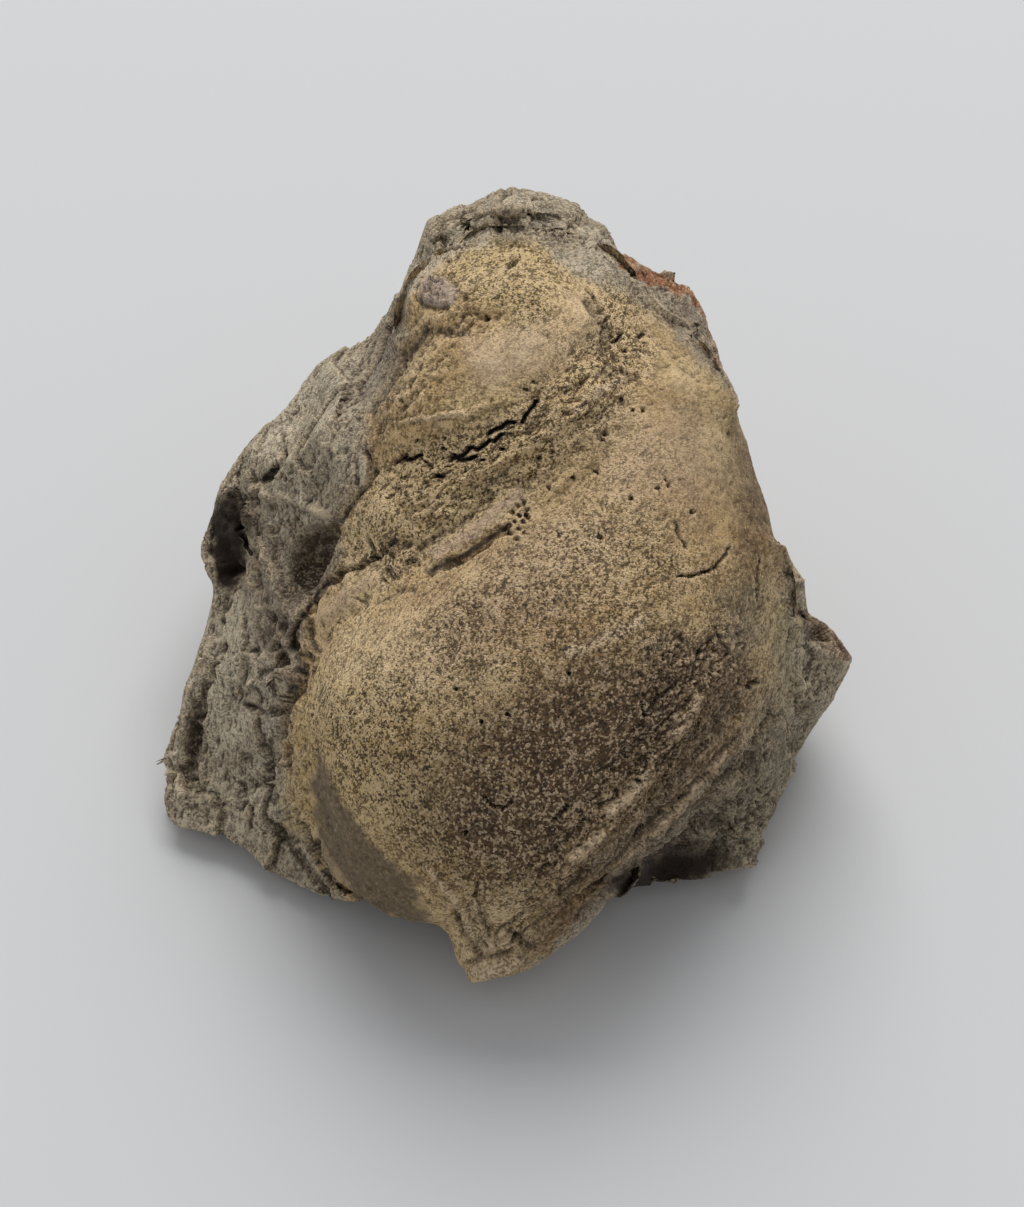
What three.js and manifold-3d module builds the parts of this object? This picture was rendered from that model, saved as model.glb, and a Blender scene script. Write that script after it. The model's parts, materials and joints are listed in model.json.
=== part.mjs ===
// A fossil gastropod: the sandstone cast of a sea snail's last whorls, still half held
// by the loose lump of siltstone that it formed in.
//
// Two pieces. "steinkern" is the cast: sediment that filled the coiled shell and turned to
// stone, after which the shell itself dissolved. "matrix" is the rock around it, broken away
// from one side so that the cast shows, and parted from the cast by a thin gap where the
// shell wall used to be.
//
// Units are millimetres, +Z is up, and the lump lies on the flat break at its back and
// underside. Its exposed face looks up and forward. The face has axes of its own: u to the
// right, v up along the face, w straight out of it. All shapes are drawn in u, v, w, and
// stand() turns them into the resting pose.

import * as THREE from 'three';
import { mergeVertices } from 'three/addons/utils/BufferGeometryUtils.js';
import Module from 'manifold-3d';

const { smoothstep } = THREE.MathUtils;
const wasm = await Module();
wasm.setup();

// ---------------------------------------------------------------- how the lump lies
const FACE_TILT = THREE.MathUtils.degToRad(50); // the face looks this far above the horizon
const FACE_HEIGHT = 19; // from the resting plane up to the middle of the face
const FOOTPRINT_CENTRE = [-0.6, 3.3]; // middle of the lump's outline as seen from above, x and y

// ---------------------------------------------------------------- the coiled cast
const AXIS_TILT = THREE.MathUtils.degToRad(7); // the shell's axis leans this far from v
const APEX = [-2.8, 45.1]; // u, v of the point that the coil winds out of
const GROWTH = 1.75; // each turn winds this much further out than the one before
const TUBE_GROWTH = 1.8; // and the tube itself is this much thicker
const COIL_HEIGHT = 49; // apex to the middle of the tube at the front of the last whorl
const COIL_RADIUS = 7.9; // axis to the middle of the tube, at the same place
const FLATTENING = 0.8; // the cast was pressed to this share of its depth
const FIRST_TURN = -1.4; // turns are counted from the front of the last whorl
const LAST_TURN = 0.27;
const SHOULDER_STRETCH = 0.95; // the shoulder stands this much higher behind the spire
const SHOULDER_RISES = [-0.75, -0.38]; // between these turns
const SHOULDER_FALLS = [-0.2, -0.02];
const LIP_LIFT = 0.075; // the broken mouth end bends back up by this share of the height
const LIP_SHRINK = 0.12; // and its tube narrows by this share
const LIP_END = 0.36; // turns over which both come in
// section of the tube in the last whorl: distance outward from its middle, distance toward the base
const TUBE_SECTION = [
  [12.4, 0.8], [9.8, -6.4], [4.5, -10.5], [-2.3, -10.5], [-7.3, -6], [-7.5, 3],
  [-7.2, 11.3], [-1.5, 16.9], [5.3, 17.4], [9.6, 12.9], [11.9, 7.1],
];
const TUBE_SIDES = 26;
const TUBE_SEGMENTS = 4; // the coil is joined from short sweeps that never cross themselves
const STEPS_PER_SEGMENT = 13;
const SEGMENT_OVERLAP = 0.02; // turns
const END_TRAVEL = 14; // the least length of tube in one turn, at its ends
const COLUMELLA_RADIUS = 1.6; // sediment that fills the middle of the coil
const COLUMELLA_SIDES = 10;
const CROWN = { centre: [-0.5, 21.0, 0], radii: [7.6, 6.4, 7.6], turn: 0 }; // the whorl above, worn
const BEAK = { centre: [3.0, -19.6, 2.5], radii: [10.5, 5.0, 4.4], turn: 50 }; // keel end and canal stub

// ---------------------------------------------------------------- the rock
const PARTING_GAP = 0.5; // where the shell wall was
const RIM_THICKNESS = 1.5; // the rock's least thickness, at its edge
const ROCK_CENTRE = [-0.9, 0.5];
const FRONT_RINGS = 13;
const BACK_RINGS = 11;
// edge of the rock, clockwise from its top: u, v, w
const RIM = [
  [-0.2, 32.0, -8], [2.6, 31.3, -8], [4.8, 30.3, -8], [7.1, 28.9, -8], [8.1, 26.8, -8],
  [10.2, 25.6, -8], [13.7, 24.3, -8], [14.8, 22.0, -8], [15.8, 18.6, -8], [17.2, 14.1, -7],
  [18.2, 9.5, -7], [19.0, 5.8, -6], [20.6, 4.3, -5], [22.2, 1.8, -5], [22.4, -0.9, -4.5],
  [24.1, -2.2, -4.5], [25.6, -4.2, -5], [24.4, -7.4, -5], [22.0, -11.0, -5], [20.4, -14.4, -5],
  [19.3, -17.2, -5], [18.5, -19.9, -4], [15.6, -20.6, -4], [12.7, -21.2, -4], [9.7, -21.3, -3],
  [6.5, -22.7, -2.5], [3.6, -24.0, -2], [0.6, -24.8, -1], [-2.1, -25.8, -0.5], [-4.2, -25.0, -0.5],
  [-6.1, -23.6, -1], [-8.8, -23.2, -1.5], [-11.9, -22.4, -2], [-14.4, -22.3, -3],
  [-16.8, -21.1, -4], [-20.2, -18.7, -6], [-23.4, -17.4, -7], [-25.8, -17.0, -8],
  [-26.6, -15.4, -8], [-26.0, -13.2, -9], [-26.9, -11.7, -9], [-25.9, -9.1, -9],
  [-25.1, -6.0, -9], [-23.5, -2.0, -10], [-22.8, 0.9, -10], [-24.0, 3.6, -10],
  [-23.4, 6.1, -10], [-22.7, 8.9, -10], [-20.5, 11.9, -10], [-17.5, 14.8, -10],
  [-14.6, 18.1, -10], [-12.4, 19.6, -10], [-10.6, 20.7, -10], [-8.4, 24.2, -9],
  [-7.3, 27.1, -8], [-6.4, 29.2, -8], [-3.7, 30.3, -8], [-1.5, 31.1, -8],
];
// heights on the front of the rock: u, v, w
const UNDER_THE_CAST = [
  [3.6, -6.5, -4], [10.4, 4.0, -4], [-2.4, 13.9, -3], [-0.2, 20.1, -3], [-8.5, -14.9, -4],
  [6.7, -14.9, -4], [-0.9, -20.8, -2], [14.3, 10.9, -5], [-6.2, -3.5, -4], [9.7, 13.1, -4],
  [3.6, 7.8, -4], [-13.8, -8.8, -4], [-12.3, -17.9, -5], [4.0, 17.5, -4],
];
const LEFT_FLANK = [
  [-10.0, 12.2, 5.5], [-9.4, 15.5, 4.5], [-8.8, 18.0, 3.5], [-11.0, 9.0, 5], [-9.6, 6.4, 6.5],
  [-8.3, 4.6, 6.0], [-10.4, 2.4, 6], [-12.4, 0.6, 4.5], [-14.2, -0.8, 3], [-12.0, 15.2, 1],
  [-13.6, 12.2, 2], [-12.5, 4.4, 2.5], [-15.9, 0.3, 0.5], [-17.0, -3.5, 0], [-17.4, -8.8, -1],
  [-16.0, -19.4, -4], [-16.0, -14.8, -2.5], [-19.8, -3.5, -4], [-21.8, -7.3, -6],
  [-19.9, -13.4, -5], [-23.8, -14.2, -7], [-20.5, 5.6, -8], [-16.0, 3.3, -2.5], [-15.9, 10.0, -1],
  [-19.1, 10.1, -5], [-14.5, 15.4, -3],
];
const TOP_CAP = [
  [-8.4, 20.5, 0], [-7.6, 25.0, 0], [-5.6, 25.6, 1.5], [-3.9, 26.8, 3], [-2.0, 27.4, 3.2],
  [-0.2, 27.6, 3.2], [2.1, 27.4, 2.6], [3.8, 26.5, 1.6], [5.9, 25.0, 1], [8.1, 23.9, 1],
  [10.4, 22.4, 0.5], [12.6, 20.4, 0], [14.3, 18.1, -1.5], [-5.4, 27.3, -0.5], [-2.4, 29.1, 0.5],
  [0.6, 29.7, 0.5], [3.6, 28.9, 0], [5.9, 27.6, -1], [9.7, 24.6, -3], [12.6, 23.2, -3.5],
];
const RIGHT_WEDGE = [
  [19.6, 3.3, 4], [19.2, 0.3, 6], [18.9, -4.0, 6.5], [18.1, -7.5, 6.5], [16.8, -10.6, 5.5],
  [14.4, -13.6, 3.5], [11.4, -16.6, 1], [21.2, -1.0, 1.5], [22.6, -4.0, -1.5], [20.9, -8.0, 1.5],
  [19.3, -12.5, 0.5], [17.5, -16.5, -2], [14.5, -18.8, -4], [10.5, -20.1, -5],
];
// broken planes at the back, each w = level + u * alongU + v * alongV
const BREAKS = [
  { level: -38.5, alongU: 0, alongV: 0.95 },
  { level: -52.6, alongU: -1.6, alongV: 0 },
  { level: -49.8, alongU: 1.55, alongV: 0 },
  { level: -31.3, alongU: 0, alongV: -1.2 },
  { level: -49, alongU: -0.9, alongV: 0.9 },
  { level: -46, alongU: 0.85, alongV: 0.85 },
];

// ---------------------------------------------------------------- shared helpers
function stand(u, v, w) {
  const backward = v * Math.sin(FACE_TILT) - w * Math.cos(FACE_TILT);
  const height = v * Math.cos(FACE_TILT) + w * Math.sin(FACE_TILT) + FACE_HEIGHT;
  const onTheFloor = Math.abs(height) < 1e-6;
  return [u - FOOTPRINT_CENTRE[0], backward - FOOTPRINT_CENTRE[1], onTheFloor ? 0 : height];
}

function restingPlane(v) {
  return -(FACE_HEIGHT + v * Math.cos(FACE_TILT)) / Math.sin(FACE_TILT);
}

// a solid from rows of points that close on themselves, with the first and last row capped
function solidFromRows(rows) {
  const sides = rows[0].length;
  const points = rows.flat();
  const triangles = [];
  for (let row = 0; row < rows.length - 1; row += 1) {
    for (let side = 0; side < sides; side += 1) {
      const next = (side + 1) % sides;
      const a = row * sides + side;
      const b = row * sides + next;
      const c = (row + 1) * sides + next;
      const d = (row + 1) * sides + side;
      triangles.push(a, b, c, a, c, d);
    }
  }
  for (const [row, flip] of [[0, true], [rows.length - 1, false]]) {
    const middle = [0, 1, 2].map((axis) => rows[row].reduce((sum, p) => sum + p[axis] / sides, 0));
    points.push(middle);
    const centre = points.length - 1;
    for (let side = 0; side < sides; side += 1) {
      const a = row * sides + side;
      const b = row * sides + ((side + 1) % sides);
      triangles.push(...(flip ? [centre, b, a] : [centre, a, b]));
    }
  }
  return solid(points.flat(), triangles);
}

function solid(positions, triangles) {
  const mesh = new wasm.Mesh({
    numProp: 3,
    vertProperties: new Float32Array(positions),
    triVerts: new Uint32Array(triangles),
  });
  return new wasm.Manifold(mesh);
}

// ---------------------------------------------------------------- the cast
const sectionCurve = new THREE.CatmullRomCurve3(
  TUBE_SECTION.map(([out, down]) => new THREE.Vector3(out, down, 0)), true, 'catmullrom', 0.5,
);
const axisDown = [Math.sin(AXIS_TILT), -Math.cos(AXIS_TILT)]; // u, v of the way to the base
const axisLeft = [-Math.cos(AXIS_TILT), -Math.sin(AXIS_TILT)];

// a point of the face frame from its distance down the axis and out from it at a turn
function aroundAxis(turn, down, out) {
  const angle = 2 * Math.PI * turn;
  const left = out * Math.sin(angle);
  return stand(
    APEX[0] + down * axisDown[0] + left * axisLeft[0],
    APEX[1] + down * axisDown[1] + left * axisLeft[1],
    out * Math.cos(angle) * FLATTENING,
  );
}

// one ring of the tube at a turn, swollen outward by a distance
function tubeRing(turn, swell) {
  const scale = GROWTH ** turn;
  const lip = smoothstep(turn, 0, LIP_END);
  const size = turn < 0 ? TUBE_GROWTH ** turn : 1 - LIP_SHRINK * lip;
  const behindSpire = smoothstep(turn, ...SHOULDER_RISES) * (1 - smoothstep(turn, ...SHOULDER_FALLS));
  const upward = 1 + SHOULDER_STRETCH * behindSpire;
  const downward = 1 - LIP_SHRINK * lip;
  const ring = [];
  for (let side = 0; side < TUBE_SIDES; side += 1) {
    const p = sectionCurve.getPoint(side / TUBE_SIDES);
    const reach = size * (1 + swell / (size * Math.hypot(p.x, p.y)));
    const down = scale * COIL_HEIGHT - LIP_LIFT * lip * COIL_HEIGHT
      + p.y * reach * (p.y < 0 ? upward : downward);
    ring.push(aroundAxis(turn, down, scale * COIL_RADIUS + p.x * reach));
  }
  return ring;
}

function coil(swell) {
  const tail = swell / END_TRAVEL;
  const first = FIRST_TURN - tail;
  const length = (LAST_TURN + tail - first) / TUBE_SEGMENTS;
  let whole = null;
  for (let segment = 0; segment < TUBE_SEGMENTS; segment += 1) {
    const from = first + segment * length - (segment > 0 ? SEGMENT_OVERLAP : 0);
    const to = first + (segment + 1) * length;
    const rows = [];
    for (let step = 0; step <= STEPS_PER_SEGMENT; step += 1) {
      rows.push(tubeRing(THREE.MathUtils.lerp(from, to, step / STEPS_PER_SEGMENT), swell));
    }
    const piece = solidFromRows(rows);
    whole = whole ? whole.add(piece) : piece;
  }
  return whole;
}

function columella(swell) {
  const rows = [];
  for (const turn of [FIRST_TURN, LAST_TURN]) {
    const scale = GROWTH ** turn;
    const ring = [];
    for (let side = 0; side < COLUMELLA_SIDES; side += 1) {
      ring.push(aroundAxis(side / COLUMELLA_SIDES, scale * COIL_HEIGHT, scale * COLUMELLA_RADIUS + swell));
    }
    rows.push(ring);
  }
  return solidFromRows(rows);
}

// an ellipsoid turned in the face by degrees
function lump({ centre, radii, turn }, swell) {
  const ball = new THREE.SphereGeometry(1, 24, 14);
  ball.deleteAttribute('normal');
  ball.deleteAttribute('uv');
  const merged = mergeVertices(ball);
  merged.scale(radii[0] + swell, radii[1] + swell, radii[2] + swell);
  merged.rotateZ(THREE.MathUtils.degToRad(turn));
  merged.translate(...centre);
  const place = merged.getAttribute('position');
  const positions = [];
  for (let i = 0; i < place.count; i += 1) {
    positions.push(...stand(place.getX(i), place.getY(i), place.getZ(i)));
  }
  return solid(positions, merged.getIndex().array);
}

function cast(swell) {
  return coil(swell).add(columella(swell)).add(lump(CROWN, swell)).add(lump(BEAK, swell));
}

// ---------------------------------------------------------------- the rock
const heights = [...RIM, ...UNDER_THE_CAST, ...LEFT_FLANK, ...TOP_CAP, ...RIGHT_WEDGE];

// height of the rock's front: each known height pulls by its nearness
function front(u, v) {
  let sum = 0;
  let total = 0;
  for (const [atU, atV, w] of heights) {
    const pull = 1 / (Math.hypot(u - atU, v - atV) + 0.01) ** 3.5;
    sum += pull * w;
    total += pull;
  }
  return sum / total;
}

// depth of the rock's back: the foremost of the broken planes, kept behind the front
function back(u, v) {
  const planes = BREAKS.map(({ level, alongU, alongV }) => level + u * alongU + v * alongV);
  const broken = Math.max(...planes);
  return Math.max(restingPlane(v), Math.min(broken, front(u, v) - RIM_THICKNESS));
}

function rock() {
  const ring = (share, height) => RIM.map(([rimU, rimV, rimW]) => {
    const u = THREE.MathUtils.lerp(ROCK_CENTRE[0], rimU, share);
    const v = THREE.MathUtils.lerp(ROCK_CENTRE[1], rimV, share);
    return stand(u, v, share === 1 ? rimW : height(u, v));
  });
  const rows = [];
  for (let step = 1; step <= FRONT_RINGS; step += 1) {
    rows.push(ring(step / FRONT_RINGS, front));
  }
  for (let step = 1; step < BACK_RINGS; step += 1) {
    rows.push(ring(Math.cos((step / BACK_RINGS) * Math.PI / 2), back));
  }
  return solidFromRows(rows);
}

// ---------------------------------------------------------------- the two pieces
function namedMesh(name, manifold, colour, roughness) {
  const { vertProperties, triVerts } = manifold.getMesh();
  const geometry = new THREE.BufferGeometry();
  geometry.setAttribute('position', new THREE.BufferAttribute(vertProperties, 3));
  geometry.setIndex(new THREE.BufferAttribute(triVerts, 1));
  geometry.computeVertexNormals();
  const material = new THREE.MeshStandardMaterial({ color: colour, roughness, metalness: 0 });
  const mesh = new THREE.Mesh(geometry, material);
  mesh.name = name;
  return mesh;
}

const fossil = new THREE.Group();
fossil.add(namedMesh('steinkern', cast(0), '#a38e6c', 0.93));
fossil.add(namedMesh('matrix', rock().subtract(cast(PARTING_GAP)), '#6f6a5b', 0.95));

export default fossil;
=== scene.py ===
# %% [markdown]
# # A fossil snail in its lump of rock
#
# The object is a hand specimen about 5 cm across: the sandstone cast of a coiled snail shell,
# still half held in the grey siltstone that it formed in. It lies on its broken underside,
# and its exposed face looks up at the viewer.
#
# Two pieces are built, as the real thing would come apart: the cast and the rock. The solid
# model gives both in their true size and place. Here each one becomes a fine mesh, is shaped
# the way a sculptor works a clay blank, and is then stained and grained. Noise does much of
# the fine work, and has a fixed seed, so that each run gives the same stone.

# %% The frame
import json
import math

import bpy
import numpy as np
from mathutils import Matrix, Vector, noise
from mathutils.bvhtree import BVHTree

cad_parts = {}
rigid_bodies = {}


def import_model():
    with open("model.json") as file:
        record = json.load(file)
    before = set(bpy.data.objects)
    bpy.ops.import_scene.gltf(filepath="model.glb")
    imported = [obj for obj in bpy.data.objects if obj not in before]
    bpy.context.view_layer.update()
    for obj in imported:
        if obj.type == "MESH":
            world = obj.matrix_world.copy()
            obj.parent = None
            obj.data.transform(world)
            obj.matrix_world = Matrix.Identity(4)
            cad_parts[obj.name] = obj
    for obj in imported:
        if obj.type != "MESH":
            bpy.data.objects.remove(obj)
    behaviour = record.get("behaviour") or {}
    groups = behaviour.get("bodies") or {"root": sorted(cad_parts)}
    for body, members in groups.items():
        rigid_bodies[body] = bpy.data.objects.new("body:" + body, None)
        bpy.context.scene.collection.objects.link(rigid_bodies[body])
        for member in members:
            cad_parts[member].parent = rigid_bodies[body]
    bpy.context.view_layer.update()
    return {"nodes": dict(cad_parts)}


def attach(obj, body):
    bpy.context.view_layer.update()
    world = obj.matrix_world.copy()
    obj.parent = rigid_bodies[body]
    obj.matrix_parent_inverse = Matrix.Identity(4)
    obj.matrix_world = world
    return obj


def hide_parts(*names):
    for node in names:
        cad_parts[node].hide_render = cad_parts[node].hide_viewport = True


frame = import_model()
SEED = 3
noise.seed_set(SEED)
print("nodes:", sorted(frame["nodes"]))

# %% [markdown]
# ## The face of the specimen
#
# A sculptor turns the work so that the face being carved is square to the eye. The face frame
# does that: RIGHT runs across the face, UP along it, and OUT straight out of it towards the
# viewer. Marks on the stone are placed by spots on a picture plane, 1024 wide and 1207 high,
# where one spot is 0.075 mm at the middle of the face.

# %% The face frame and the picture plane
MM = 0.001
FACE_TILT = math.radians(50)
FACE_MIDDLE = np.array([0.6, -3.3, 19.0]) * MM
RIGHT = np.array([1.0, 0.0, 0.0])
UP = np.array([0.0, math.sin(FACE_TILT), math.cos(FACE_TILT)])
OUT = np.array([0.0, -math.cos(FACE_TILT), math.sin(FACE_TILT)])

PICTURE = (1024, 1207)
PICTURE_MIDDLE = np.array([512.0, 603.5])
SPOT = 0.075 * MM
VIEW_DISTANCE = 450 * MM


def to_picture(points):
    """Where points in space fall on the picture plane, seen from the camera."""
    from_middle = points - FACE_MIDDLE
    nearer = VIEW_DISTANCE / (VIEW_DISTANCE - from_middle @ OUT)
    across = from_middle @ RIGHT * nearer / SPOT
    down = -(from_middle @ UP) * nearer / SPOT
    return np.stack([across, down], axis=1) + PICTURE_MIDDLE


print("one spot is", SPOT / MM, "mm")

# %% [markdown]
# ## The camera
#
# A long lens from 45 cm away keeps the gentle perspective of a small object on a table. The
# lens follows from the distance and the height of the picture, on Blender's 36 mm film.

# %% Camera
FILM = 36.0
camera_data = bpy.data.cameras.new("camera")
camera_data.lens = FILM * VIEW_DISTANCE / (PICTURE[1] * SPOT)
camera = bpy.data.objects.new("camera", camera_data)
bpy.context.scene.collection.objects.link(camera)
turn = Matrix(np.column_stack([RIGHT, UP, OUT]).tolist()).to_4x4()
camera.matrix_world = Matrix.Translation(FACE_MIDDLE + OUT * VIEW_DISTANCE) @ turn
bpy.context.scene.camera = camera
print("lens", round(camera_data.lens, 1), "mm")

# %% [markdown]
# ## Selecting and smoothing
#
# An operator acts on the active object and on what is selected in it, so each job starts by
# saying both. The selection is made in object mode, and the operator runs in edit mode.

# %% Selecting and smoothing
def make_active(piece):
    if bpy.context.object and bpy.context.object.mode != "OBJECT":
        bpy.ops.object.mode_set(mode="OBJECT")
    bpy.ops.object.select_all(action="DESELECT")
    piece.select_set(True)
    bpy.context.view_layer.objects.active = piece


def select_all(piece, kind, action):
    make_active(piece)
    bpy.ops.object.mode_set(mode="EDIT")
    bpy.ops.mesh.select_mode(type=kind)
    bpy.ops.mesh.select_all(action=action)
    bpy.ops.object.mode_set(mode="OBJECT")


def select_points(piece, wanted):
    select_all(piece, "VERT", "DESELECT")
    piece.data.vertices.foreach_set("select", wanted)


def smooth_selected(rounds):
    bpy.ops.object.mode_set(mode="EDIT")
    bpy.ops.mesh.vertices_smooth(factor=0.5, repeat=rounds)
    bpy.ops.object.mode_set(mode="OBJECT")


# %% [markdown]
# ## A clay blank from the solid model
#
# The faceted solids have the right form but far too few, uneven faces to sculpt on. A voxel
# remesh lays an even skin of small squares over a copy, like a sculptor's digital clay. The
# copy is merged first, because an imported solid is a bag of loose triangles. A thin rim can
# leave crumbs of skin beside the piece, so what isn't linked to its topmost point is deleted.
# A light smooth then melts the facets away and leaves the form.

# %% Blanks
MERGE_GAP = 0.001 * MM


def drop_crumbs(piece):
    """Deletes what isn't linked to the topmost point."""
    heights = np.array([vertex.co.z for vertex in piece.data.vertices])
    select_points(piece, heights == heights.max())
    bpy.ops.object.mode_set(mode="EDIT")
    bpy.ops.mesh.select_linked()
    bpy.ops.mesh.select_all(action="INVERT")
    bpy.ops.mesh.delete(type="VERT")
    bpy.ops.object.mode_set(mode="OBJECT")
    print(piece.name, "lost", len(heights) - len(piece.data.vertices), "points in crumbs")


def blank_from(node, name, skin, rounds):
    """A copy of one solid, remeshed to a skin of squares of this size and smoothed."""
    piece = bpy.data.objects.new(name, frame["nodes"][node].data.copy())
    bpy.context.scene.collection.objects.link(piece)
    piece.data.materials.clear()
    select_all(piece, "VERT", "SELECT")
    bpy.ops.object.mode_set(mode="EDIT")
    bpy.ops.mesh.remove_doubles(threshold=MERGE_GAP)
    bpy.ops.object.mode_set(mode="OBJECT")
    piece.data.remesh_voxel_size = skin
    bpy.ops.object.voxel_remesh()
    drop_crumbs(piece)
    select_all(piece, "VERT", "SELECT")
    smooth_selected(rounds)
    print(name, len(piece.data.polygons), "squares of", round(skin / MM, 2), "mm")
    return piece


cast = blank_from("steinkern", "cast", 0.95 * MM, rounds=5)
rock = blank_from("matrix", "rock", 0.82 * MM, rounds=1)

# %% [markdown]
# ## Working on points
#
# Sculpting in code means moving points. These helpers read a piece's points, edges and
# normals, write the points back, and give the two curves that every stroke is made of: a
# smooth rise from 0 to 1, and layered noise of a real size in millimetres. A shift reads the
# noise somewhere else, so that two layers of it don't line up.

# %% Points, edges, normals and noise
def points_of(piece):
    flat = np.empty(len(piece.data.vertices) * 3)
    piece.data.vertices.foreach_get("co", flat)
    return flat.reshape(-1, 3)


def set_points(piece, points):
    piece.data.vertices.foreach_set("co", points.reshape(-1))
    piece.data.update()


def edges_of(piece):
    """The numbers of the two points that each edge joins."""
    pairs = np.empty(len(piece.data.edges) * 2, np.int64)
    piece.data.edges.foreach_get("vertices", pairs)
    return pairs.reshape(-1, 2)


def normals_of(piece):
    flat = np.empty(len(piece.data.vertices) * 3, np.float32)
    piece.data.vertex_normals.foreach_get("vector", flat)
    return flat.reshape(-1, 3).astype(float)


def rise(x, low, high):
    """0 below low, 1 above high, and a smooth rise between."""
    share = np.clip((x - low) / (high - low), 0.0, 1.0)
    return share * share * (3 - 2 * share)


def lumps(places, size, layers=3, shift=0.0):
    """Layered noise from about -1 to 1, whose largest lumps have this size."""
    scaled = places / size + shift
    return np.array([noise.fractal(Vector(p), 0.9, 2.1, layers) for p in scaled])


print("the blank cast has", len(points_of(cast)), "points and", len(edges_of(cast)), "edges")


# %% [markdown]
# ## Strokes and patches
#
# A mark on the stone is one of two things: a stroke, which follows a line of picture spots
# and fades to its sides, or a patch, which fills an outline. Both are read at slightly
# shaken spots, so that no edge runs as straight as the line it was drawn with.

# %% Strokes and patches
def gap_to(spots, path):
    """Distance from each spot to a line through the path's points."""
    nearest = np.full(len(spots), 1e9)
    for start, end in zip(path[:-1], path[1:]):
        leg = end - start
        share = np.clip((spots - start) @ leg / (leg @ leg), 0, 1)
        nearest = np.minimum(nearest, np.linalg.norm(spots - start - share[:, None] * leg, axis=1))
    return nearest


def stroke(spots, path, width):
    """1 along the path, falling to 0 at this distance from it."""
    path = np.array(path, float)
    near = ((spots > path.min(0) - width) & (spots < path.max(0) + width)).all(1)
    strength = np.zeros(len(spots))
    strength[near] = 1 - rise(gap_to(spots[near], path), 0, width)
    return strength


def patch(spots, outline, edge):
    """1 inside the outline and 0 outside, blending over the edge's width."""
    corners = np.array(outline, float)
    near = ((spots > corners.min(0) - edge) & (spots < corners.max(0) + edge)).all(1)
    x, y = spots[near].T
    inside = np.zeros(near.sum(), bool)
    for (x0, y0), (x1, y1) in zip(corners, np.roll(corners, -1, axis=0)):
        if y0 != y1:
            crosses = ((y0 > y) != (y1 > y)) & (x < x0 + (y - y0) * (x1 - x0) / (y1 - y0))
            inside ^= crosses
    gap = gap_to(spots[near], np.vstack([corners, corners[:1]]))
    strength = np.zeros(len(spots))
    strength[near] = rise(np.where(inside, gap, -gap), -edge / 2, edge / 2)
    return strength


def strongest(kind, spots, layers):
    """The most that any layer gives each spot. A layer is a strength, a width and a line."""
    most = np.zeros(len(spots))
    for strength, width, line in layers:
        most = np.maximum(most, strength * kind(spots, line, width))
    return most


def shaken(spots, reach, size):
    """The spots moved about by up to this reach, in swirls of this size."""
    moved = [noise.noise_vector(Vector((x / size, y / size, 0.5))) for x, y in spots]
    return spots + reach * np.array(moved)[:, :2]


example = stroke(np.array([(0.0, 0.0), (5.0, 0.0), (9.0, 0.0)]), [(0, -20), (0, 20)], 10)
print("a stroke 10 wide, on its path, 5 off and 9 off:", example.round(2))

# %% [markdown]
# ## Finer clay where it shows
#
# Small marks need small faces, but only where they show. A point counts as seen if a straight
# line from it out of the face meets nothing, or only the thin lip of the socket. On the cast
# the seen faces are split in four, twice. The rock is split once all over its outside, since
# its broken sides show too, and once more where it is seen.

# %% Which points are seen
LIP_OF_SOCKET = 1.2 * MM
ABOVE_THE_SKIN = 0.2 * MM
FACING_LEAST = 0.05


def tree_of(piece):
    """The piece's faces, sorted so that rays and nearest points are found quickly."""
    corners = [Vector(p) for p in points_of(piece)]
    return BVHTree.FromPolygons(corners, [p.vertices[:] for p in piece.data.polygons])


def reach_to(tree, places):
    """Distance from each place to the nearest point of a skin."""
    return np.array([tree.find_nearest(Vector(p))[3] for p in places])


def seen_from_front(piece, trees):
    seen = normals_of(piece) @ OUT > FACING_LEAST
    out = Vector(OUT)
    places = points_of(piece)
    for number in np.flatnonzero(seen):
        start = Vector(places[number]) + out * ABOVE_THE_SKIN
        reaches = [tree.ray_cast(start, out)[3] for tree in trees]
        seen[number] = not any(reach and reach > LIP_OF_SOCKET for reach in reaches)
    return seen


cast_skin = tree_of(cast)
blank_skins = [cast_skin, tree_of(rock)]
print(seen_from_front(cast, blank_skins).sum(), "of the cast's points are seen")

# %% [markdown]
# Subdivide splits the selected faces, and leaves a clean border of triangles round them. The
# wall of the socket and the flat underside stay coarse, because nothing there is ever seen.

# %% Subdivide
SOCKET_WALL = 1.0 * MM
BASE_SKIN = 0.6 * MM


def refine(piece, wanted, rounds=2):
    """Splits in four the faces whose corners are all wanted, and relaxes the new points."""
    select_all(piece, "FACE", "DESELECT")
    for polygon in piece.data.polygons:
        polygon.select = bool(wanted[list(polygon.vertices)].all())
    bpy.ops.object.mode_set(mode="EDIT")
    bpy.ops.mesh.subdivide(number_cuts=1, smoothness=0)
    bpy.ops.object.mode_set(mode="OBJECT")
    smooth_selected(rounds)
    triangles = sum(len(p.vertices) - 2 for p in piece.data.polygons)
    print(piece.name, triangles, "triangles")


refine(cast, seen_from_front(cast, blank_skins))
refine(cast, seen_from_front(cast, blank_skins))
outside = reach_to(cast_skin, points_of(rock)) > SOCKET_WALL
refine(rock, outside & (points_of(rock)[:, 2] > BASE_SKIN))
rim_of_socket = reach_to(cast_skin, points_of(rock)) > SOCKET_WALL / 4
refine(rock, seen_from_front(rock, blank_skins) & rim_of_socket)

# %% [markdown]
# ## Back onto the rock's own surface
#
# The voxel skin has rounded the rock's thin broken rim. A Shrinkwrap modifier lays the finer
# mesh back on the solid, so the rim is crisp again.

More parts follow.
